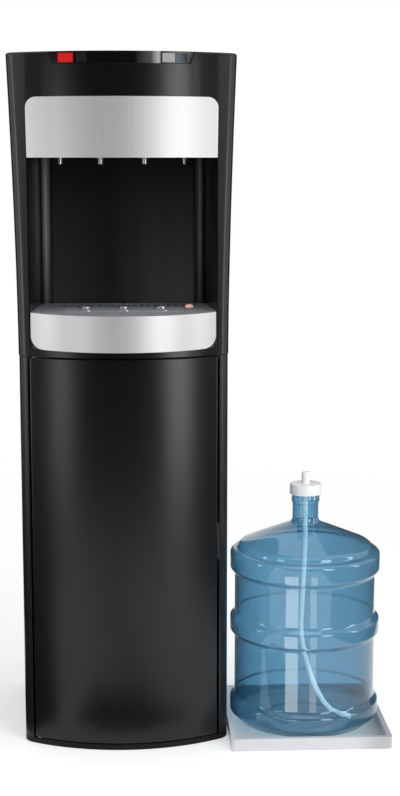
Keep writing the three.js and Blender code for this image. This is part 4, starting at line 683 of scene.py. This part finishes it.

# The strip's colour carries a painted reflection: it rises from black to a pale band just left of the
# grey window, and is black again beyond it.
display_gloss = grained("display_gloss", 0.16, depth=POLISHED_DEPTH, level=0.3)
strip_black, strip_reflection_grey = (0.004, 0.004, 0.0045), (0.4, 0.4, 0.41)
sheen = display_gloss.spread(display_gloss.along("X"), 0, REFLECTION_END_X)
display_gloss.set(Base_Color=display_gloss.ramp(
    sheen, (0.2, strip_black), (0.45, (0.075, 0.075, 0.079)), (0.565, strip_reflection_grey),
    (0.605, strip_black)))
strip_low, strip_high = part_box("display_strip")
columns = [(i / STRIP_STEPS * NOTCH_HALF, strip_low.z, i / STRIP_STEPS * strip_high.x, strip_high.z)
           for i in range(-STRIP_STEPS, STRIP_STEPS + 1)]
strip = bowed_plate("display_face", columns, BOW_RADIUS - STRIP_SETBACK, FRONT_Y + STRIP_SETBACK,
                    RIM_RADIUS + HEAD_WALL - STRIP_SETBACK, display_gloss)
round_edges(strip, 0.6 * MM)
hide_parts("display_strip")
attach(strip, "cabinet")


def window_finish(name, colour, glow=0.0):
    """Printed acrylic with a satin face over a flat colour."""
    finish = moulded(name, colour, 0.3, depth=POLISHED_DEPTH, level=0.2)
    finish.glow(colour, glow)
    return finish


blue_window = window_finish("blue_window", (0.01, 0.018, 0.032))
# The blue window's colour carries a painted reflection: blue-grey at its left end, fading to dark blue
# at its right.
blue_low, blue_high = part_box("cooling_window")
darker = blue_window.spread(blue_window.along("X"), blue_low.x, blue_high.x, smooth=True)
blue_window.set(Base_Color=blue_window.blend(darker, rgba((0.06, 0.09, 0.125)),
                                             rgba((0.001, 0.003, 0.007))))
WINDOWS = (
    ("hot_window", "window_red", window_finish("red_window", (0.52, 0.004, 0.006), 0.22)),
    ("heating_window", "window_dark", window_finish("dark_window", (0.012, 0.012, 0.013))),
    ("cold_window", "window_grey", window_finish("grey_window", (0.32, 0.32, 0.325))),
    ("cooling_window", "window_blue", blue_window),
)
for node, slot_name, finish in WINDOWS:
    low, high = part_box(node)
    spans = [low.x + (high.x - low.x) * i / WINDOW_STEPS for i in range(WINDOW_STEPS + 1)]
    columns = [(x, low.z, x, high.z) for x in spans]
    window = bowed_plate(f"{node}_face", columns, BOW_RADIUS - WINDOW_SETBACK,
                         FRONT_Y + WINDOW_SETBACK, WINDOW_SHEET, finish)
    round_edges(window, 0.12 * MM, 2)
    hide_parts(node)
    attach(window, "cabinet")

# ---------- Alcove ----------
# Two slanted walls moulded in gloss black run back into rounded coves, and a flat panel
# closes the back between two grooves. Four metal spouts come down through the ceiling.

PANEL_PAINTED_LIGHT_HALF = 115 * MM
PANEL_PAINTED_LIGHT_TOP_Z, PANEL_PAINTED_LIGHT_FOOT_Z = 950 * MM, 720 * MM
COVE_WALL_X, COVE_GROOVE_X = 136 * MM, 117 * MM  # from the slanted wall to the groove
COVE_FOOT_Z, COVE_LIT_Z = 710 * MM, 820 * MM  # the painted highlight in each wall's rounded back corner fades between these, down to the deck
SPOUT_BORE, SPOUT_RADIUS, SPOUT_FLANGE = 3.5 * MM, 5.2 * MM, 8 * MM  # radii
SPOUT_DROP = 9.7 * MM  # from the tip up to the flange
SPOUT_FLANGE_SHEET = 2 * MM

alcove_black = moulded("alcove_black", (0.003, 0.003, 0.0035), 0.22, depth=POLISHED_DEPTH, level=0.6)
# The back panel's colour carries painted light: a painted reflection, lighter towards both ends and
# most at the right, and lighter towards its foot.
back_gloss = grained("back_gloss", 0.2, depth=0.004 * MM, level=0.22)
sideways = back_gloss.spread(back_gloss.along("X"), -PANEL_PAINTED_LIGHT_HALF, PANEL_PAINTED_LIGHT_HALF)
lit_side = back_gloss.ramp(sideways, (0.0, 0.4), (0.4, 0.08), (0.6, 0.25), (0.88, 1.0))
lit_foot = back_gloss.spread(back_gloss.along("Z"), PANEL_PAINTED_LIGHT_TOP_Z, PANEL_PAINTED_LIGHT_FOOT_Z, 0.12)
back_gloss.set(Base_Color=back_gloss.blend(lit_foot * lit_side, rgba((0.008, 0.0085, 0.0095)),
                                           rgba((0.085, 0.089, 0.096))))
# Each wall's colour carries a painted highlight in its rounded back corner, paler on the left wall,
# dimming towards the deck.
for side, name, pale in ((1, "right", 0.1), (-1, "left", 0.22)):
    wall_black = grained(f"{name}_wall_black", 0.22, depth=POLISHED_DEPTH, level=0.25)
    inward = wall_black.spread(wall_black.along("X"), side * COVE_WALL_X, side * COVE_GROOVE_X)
    cove_highlight = wall_black.ramp(inward, (0.08, 0.0), (0.45, 1.0), (0.62, 0.6), (0.9, 0.05))
    lit_top = wall_black.spread(wall_black.along("Z"), COVE_FOOT_Z, COVE_LIT_Z, 0.4)
    wall_black.set(Base_Color=wall_black.blend(cove_highlight * lit_top, rgba((0.003, 0.003, 0.0035)),
                                               rgba((pale, pale, 1.03 * pale))))
    soften(f"{name}_alcove_wall", wall_black, 0.4)
soften("alcove_back_panel", back_gloss, 0.5)
soften("alcove_ceiling", alcove_black, 0.4)


def turned(name, profile, middle, finish, segments, closed=True):
    """A profile of radius and height turned about an upright axis through middle.

    A closed one is a wall round a bore. An open one starts and ends on the axis.
    """
    verts, faces, rings = [], [], []
    for radius, z in profile:
        start = len(verts)
        spokes = segments if radius > 1e-7 else 1
        for i in range(spokes):
            turn = 2 * pi * i / segments
            verts.append((middle[0] + radius * cos(turn), middle[1] + radius * sin(turn),
                          middle[2] + z))
        rings.append(range(start, start + spokes))
    for low, high in zip(rings, rings[1:] + (rings[:1] if closed else [])):
        for i in range(segments):
            j = (i + 1) % segments
            if len(low) == 1 and len(high) > 1:
                faces.append((low[0], high[i], high[j]))
            elif len(low) > 1 and len(high) == 1:
                faces.append((low[i], low[j], high[0]))
            elif len(low) > 1:
                faces.append((low[i], low[j], high[j], high[i]))
    return new_piece(name, verts, faces, finish)


SHARPEST_BEND = 0.2
STRAIGHT_BEND = pi - 0.02
MOST_CUT = 0.45  # of each leg


def rounded(points, radius, steps):
    """A line of radius and height whose inner corners are filleted."""
    made = [Vector(points[0])]
    for before, here, after in zip(points, points[1:], points[2:]):
        here, before, after = Vector(here), Vector(before), Vector(after)
        into, away = before - here, after - here
        bend = into.angle(away)
        if bend > STRAIGHT_BEND:
            made.append(here)
            continue
        cut = min(radius / max(bend / 2, SHARPEST_BEND), MOST_CUT * into.length,
                  MOST_CUT * away.length)
        a, b = here + into.normalized() * cut, here + away.normalized() * cut
        for i in range(steps + 1):
            t = i / steps
            made.append(a * (1 - t) ** 2 + here * 2 * t * (1 - t) + b * t * t)
    made.append(Vector(points[-1]))
    return [tuple(p) for p in made]


def foot_of(low, high):
    """The middle of a box's underside, where a turned piece's axis starts."""
    return (low.x + high.x) / 2, (low.y + high.y) / 2, low.z


spout_metal = sheet_metal("spout_metal", (0.5, 0.505, 0.51), 0.36, (1, 1, 1), 60)
for number in range(1, 5):
    low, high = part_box(f"spout_{number}")
    tall = high.z - low.z
    flange_top = SPOUT_DROP + SPOUT_FLANGE_SHEET
    wall = [(SPOUT_BORE, 0), (SPOUT_RADIUS, 0), (SPOUT_RADIUS, SPOUT_DROP), (SPOUT_FLANGE, SPOUT_DROP),
            (SPOUT_FLANGE, flange_top), (SPOUT_RADIUS, flange_top), (SPOUT_RADIUS, tall),
            (SPOUT_BORE, tall)]
    spout = turned(f"spout_tip_{number}", rounded(wall, 0.5 * MM, 3), foot_of(low, high),
                   spout_metal, segments=32)
    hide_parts(f"spout_{number}")
    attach(spout, "cabinet")

# ---------- Basin, deck and controls ----------
# A bowed silver apron stands out under the alcove with a grey deck over it. A lighter
# control plate carries three domed chrome buttons, each with a white light dot in front,
# and a small lit safety button stands beside it.

BASIN_RADIUS = 190 * MM
BASIN_FRONT_Y = -205 * MM
BASIN_HALF = 146.4 * MM
BASIN_CORNER = 20 * MM
BASIN_STEPS, BASIN_CORNER_STEPS = 48, 12  # on each side of the middle
BASIN_SHEET = 2 * MM

basin_low, basin_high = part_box("basin_front")
columns = []
for x, over in plate_places(BASIN_HALF, BASIN_CORNER, BASIN_STEPS, BASIN_CORNER_STEPS):
    bottom = basin_low.z + BASIN_CORNER - sqrt(max(BASIN_CORNER ** 2 - over ** 2, 0))
    columns.append((x, bottom, x, basin_high.z))
apron = bowed_plate("basin_apron", columns, BASIN_RADIUS, BASIN_FRONT_Y, BASIN_SHEET,
                    silver("apron_silver", 1.13))
round_edges(apron, 0.8 * MM)
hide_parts("basin_front")
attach(apron, "cabinet")

board_green = moulded("board_green", (0.012, 0.09, 0.03), 0.35)
soften("basin_body", alcove_black, 0.4)
soften("deck", moulded("deck_grey", (0.33, 0.345, 0.37), 0.42), 0.5)
soften("control_plate", moulded("plate_grey", (0.42, 0.44, 0.465), 0.36), 0.4)
soften("button_board", board_green, 0.2)
soften("drip_tray", moulded("tray_slate", (0.4, 0.42, 0.45), 0.45), 0.4)
soften("drip_grille", moulded("grille_grey", (0.3, 0.315, 0.335), 0.4), 0.5)

STEM_RADIUS = 3 * MM
BUTTON_SIDE = 9.8 * MM
BUTTON_DOME = 3.2 * MM
SAFETY_DOME = 1.9 * MM
DOME_STEPS = 8


def button_cap(name, node, body, finish, dome):
    """A domed cap with a soft rim, on the solid's own stem."""
    low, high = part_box(node)
    radius = (high.x - low.x) / 2
    tall = high.z - low.z
    shoulder = tall - dome
    skirt = shoulder - BUTTON_SIDE
    stem = [(0, 0), (STEM_RADIUS, 0), (STEM_RADIUS, skirt), (radius, skirt)]
    turns = [pi / 2 * i / DOME_STEPS for i in range(DOME_STEPS)]
    crown = [(radius * cos(t), shoulder + dome * sin(t)) for t in turns]
    profile = rounded(stem, 0.4 * MM, 3) + rounded(crown, 0.4 * MM, 2) + [(0, tall)]
    cap = turned(name, profile, foot_of(low, high), finish, segments=64, closed=False)
    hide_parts(node)
    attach(cap, body)


chrome = sheet_metal("button_chrome", (0.55, 0.56, 0.58), 0.33, (1, 1, 1), 50, metallic=0.85)
safety_glow = moulded("safety_glow", (0.6, 0.36, 0.3), 0.3)
safety_glow.glow((1.0, 0.56, 0.47), 0.45)
for name in ("cold", "room", "hot"):
    button_cap(f"{name}_button_dome", f"{name}_button", f"{name}_button_cap",
               chrome, BUTTON_DOME)
button_cap("safety_button_dome", "safety_button", "safety_button_cap", safety_glow,
           SAFETY_DOME)

BUTTON_PITCH = 61 * MM
DOT_ASIDE = 6 * MM  # to the right of its button
DOT_Y = -121 * MM
DOT_FOOT_Z = 707.5 * MM
DOT_LINE = ((0, 0), (1.9, 0), (1.9, 1.6), (1.5, 2.1), (0.8, 2.3), (0, 2.35))

lit_white = moulded("lit_white", (0.85, 0.86, 0.88), 0.3)
lit_white.glow((1, 1, 1), 0.2)
for number in (1, 2, 3):
    place = ((number - 2) * BUTTON_PITCH + DOT_ASIDE, DOT_Y, DOT_FOOT_Z)
    line = [(r * MM, z * MM) for r, z in DOT_LINE]
    dot = turned(f"light_dot_{number}", line, place, lit_white, segments=24, closed=False)
    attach(dot, "cabinet")

# ---------- Cooling, heating and rear fittings ----------
# What hangs on the cabinet's back and stands on its inner shelf: the black coil, the
# compressor, the two tanks, the pump with its tubes, the boards, switches and power inlet.

machine_black = moulded("machine_black", (0.013, 0.013, 0.014), 0.38)
stainless = sheet_metal("stainless", (0.5, 0.5, 0.51), 0.28, (3, 3, 120))
white_plastic = moulded("white_plastic", (0.76, 0.77, 0.76), 0.42)
foam_white = moulded("foam_white", (0.82, 0.82, 0.8), 0.85, grain=4 * MM, depth=0.6 * MM)
pump_black = moulded("pump_black", (0.02, 0.02, 0.021), 0.5)
silicone = moulded("silicone", (0.66, 0.72, 0.75), 0.35)
soften("compressor", machine_black, 0.8)
soften("compressor_mount", galvanised, 0.4)
soften("condenser", machine_black, 0.2, 50)
soften("hot_tank", stainless, 0.4, 50)
soften("cold_tank", stainless, 0.4, 50)
soften("cold_tank_foam", foam_white, 1.0)
soften("tank_shelf", galvanised, 0.3)
soften("valve_manifold", white_plastic, 0.6)
soften("water_pump", pump_black, 0.6)
soften("feed_tube", silicone, 0.2, 60)
soften("hot_tube", silicone, 0.2, 60)
soften("control_board", board_green, 0.2)
soften("drain_cap", white_plastic, 0.6)
soften("hot_switch", moulded("switch_red", (0.42, 0.012, 0.01), 0.28), 0.8)
soften("cold_switch", moulded("switch_green", (0.01, 0.13, 0.03), 0.28), 0.8)
soften("power_inlet", moulded("inlet_black", (0.011, 0.011, 0.011), 0.36), 0.5)

# ---------- Bottle tray ----------
# A shallow tray moulded in light grey plastic, which stands loose on the floor. Its right
# end is a little darker.

# where the tray's colour darkens towards its right end
DARKEN_START_X, DARKEN_END_X = 360 * MM, 420 * MM

tray_grey = grained("tray_grey", 0.36)
right_darkening = tray_grey.spread(tray_grey.along("X"), DARKEN_START_X, DARKEN_END_X, smooth=True)
tray_grey.set(Base_Color=tray_grey.blend(right_darkening, rgba((0.6, 0.61, 0.63)), rgba((0.42, 0.43, 0.45))))
soften("bottle_tray", tray_grey, 1.6)

# ---------- Bottle ----------
# A bottle blown in clear blue polycarbonate, with three ribs round it and a cone shoulder
# under a short neck. It stands loose in its tray.

CLEAR_FOOT_START, CLEAR_FOOT_END = 6 * MM, 16 * MM  # above the bottle's underside
# The wall's lines, in millimetres: radius, and height above the underside.
BOTTLE_WALL = 1.4
WAIST, RIB_SIDE, RIB = 117.5, 121, 125  # radii
SIDE_RISE, RIB_RISE = 4, 8  # from a rib's face to its side's middle and to the waist
LOW_RIB, MIDDLE_RIB, TOP_RIB = (20, 42), (160, 183), (266, 293)  # where each rib's face runs
FOOT_LINE = [(0, 3.5), (60, 3), (72, 0), (80, 0), (112, 7), (WAIST, 13), (RIB_SIDE, 16),
             (RIB, LOW_RIB[0])]
SHOULDER_LINE = [(RIB, TOP_RIB[1]), (RIB_SIDE, 297), (112, 299), (111.5, 305), (106, 309)]
NECK_LINE = [(24.5, 343), (21.7, 349), (21.7, 374), (23.4, 378), (23.4, 386), (21.7, 389), (21.7, 398)]


def up_to_rib(z):
    return [(WAIST, z - RIB_RISE), (RIB_SIDE, z - SIDE_RISE), (RIB, z)]


def down_to_waist(z):
    return [(RIB, z), (RIB_SIDE, z + SIDE_RISE), (WAIST, z + RIB_RISE)]


bottle_low, bottle_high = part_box("water_bottle")
bottle_foot = foot_of(bottle_low, bottle_high)
bottle_blue = Finish("bottle_blue", Roughness=0.04, IOR=1.5, Transmission_Weight=1.0)
edge_on = bottle_blue.node("ShaderNodeLayerWeight", {}, {"Blend": 0.5}, output="Facing")
above_foot = bottle_blue.spread(bottle_blue.along("Z"), bottle_low.z + CLEAR_FOOT_START,
                                bottle_low.z + CLEAR_FOOT_END)
wall_tint = bottle_blue.blend(above_foot, rgba((0.66, 0.84, 0.92)), rgba((0.29, 0.48, 0.60)))
bottle_blue.set(Base_Color=bottle_blue.blend(edge_on ** 1.9, wall_tint, rgba((0.0, 0.035, 0.09))))
tinted = bottle_blue.node("ShaderNodeBsdfTransparent", {}, {"Color": rgba((0.86, 0.945, 0.985))})
glass = Tone(bottle_blue, bottle_blue.shader.outputs[0])
surface = bottle_blue.node("ShaderNodeMixShader", {},
                           {0: bottle_blue.ray("Shadow", "Diffuse"), 1: glass, 2: tinted})
bottle_blue.feed(bottle_blue.tree.nodes["Material Output"].inputs["Surface"], surface)

bottle_line = (FOOT_LINE + down_to_waist(LOW_RIB[1]) + up_to_rib(MIDDLE_RIB[0])
               + down_to_waist(MIDDLE_RIB[1]) + up_to_rib(TOP_RIB[0]) + SHOULDER_LINE + NECK_LINE)
outer = rounded(bottle_line, 3.0, 5)
inner = []
for i, (r, z) in enumerate(outer):
    before, after = outer[max(i - 1, 0)], outer[min(i + 1, len(outer) - 1)]
    heading = (Vector(after) - Vector(before)).normalized()
    inner.append((max(r - heading.y * BOTTLE_WALL, 0), z + heading.x * BOTTLE_WALL))
inner[0] = (0, inner[0][1])
profile = [(r * MM, z * MM) for r, z in outer + inner[::-1]]
bottle = turned("bottle_shell", profile, bottle_foot, bottle_blue, segments=128, closed=False)
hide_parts("water_bottle")
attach(bottle, "bottle")

# The window that the bottle mirrors: two glowing panes on the floor, which light nothing else.
PANE_Z = 1.5 * MM
PANES = (  # name, radiance, corners
    ("wide_pane", 6.0, ((-0.39, -1.04), (-0.02, -1.21), (0.232, -0.331), (0.161, -0.3))),
    ("narrow_pane", 3.4, ((0.35, -1.24), (0.55, -1.23), (0.35, -0.337), (0.305, -0.339))),
)
only_bottle = bpy.data.collections.new("lit_by_window")
only_bottle.objects.link(bottle)
for name, radiance, corners in PANES:
    pane_glow = Finish(f"{name}_glow")
    pane_glow.glow((1, 1, 1), radiance)
    pane = plain_card(name, [(x, y, PANE_Z) for x, y in corners], pane_glow, only_reflected=True)
    pane.light_linking.receiver_collection = only_bottle

# ---------- Probe cap and dip tube ----------
# A push-on cap moulded in white plastic closes the neck, with a short stub on top. The soft
# clear dip tube hangs from it and curls along the bottle's base.

# The cap's line, in millimetres: radius, and height above the neck's rim.
SKIRT = 7.5
CAP_LINE = [(0, 1.5), (22, 1.5), (22, -SKIRT), (26.3, -SKIRT), (26.3, 9), (25.3, 10), (6.7, 10),
            (6.7, 28.6), (6.2, 29), (0, 29)]

cap_low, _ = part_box("probe_cap")
cap_foot = (bottle_foot[0], bottle_foot[1], cap_low.z + SKIRT * MM)
cap = turned("probe_cap_shell", [(r * MM, z * MM) for r, z in rounded(CAP_LINE, 0.6, 3)], cap_foot,
             moulded("cap_white", (0.82, 0.83, 0.83), 0.34), segments=72, closed=False)
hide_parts("probe_cap")
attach(cap, "bottle")

# The tube's glow is painted light: it makes the clear tube look lit through the bottle, though it is
# no lamp.
tube_clear = moulded("tube_clear", (0.93, 0.93, 0.92), 0.3)
tube_clear.glow((1.0, 0.95, 0.92), 0.36)
soften("dip_tube", tube_clear, 0.1, 80)
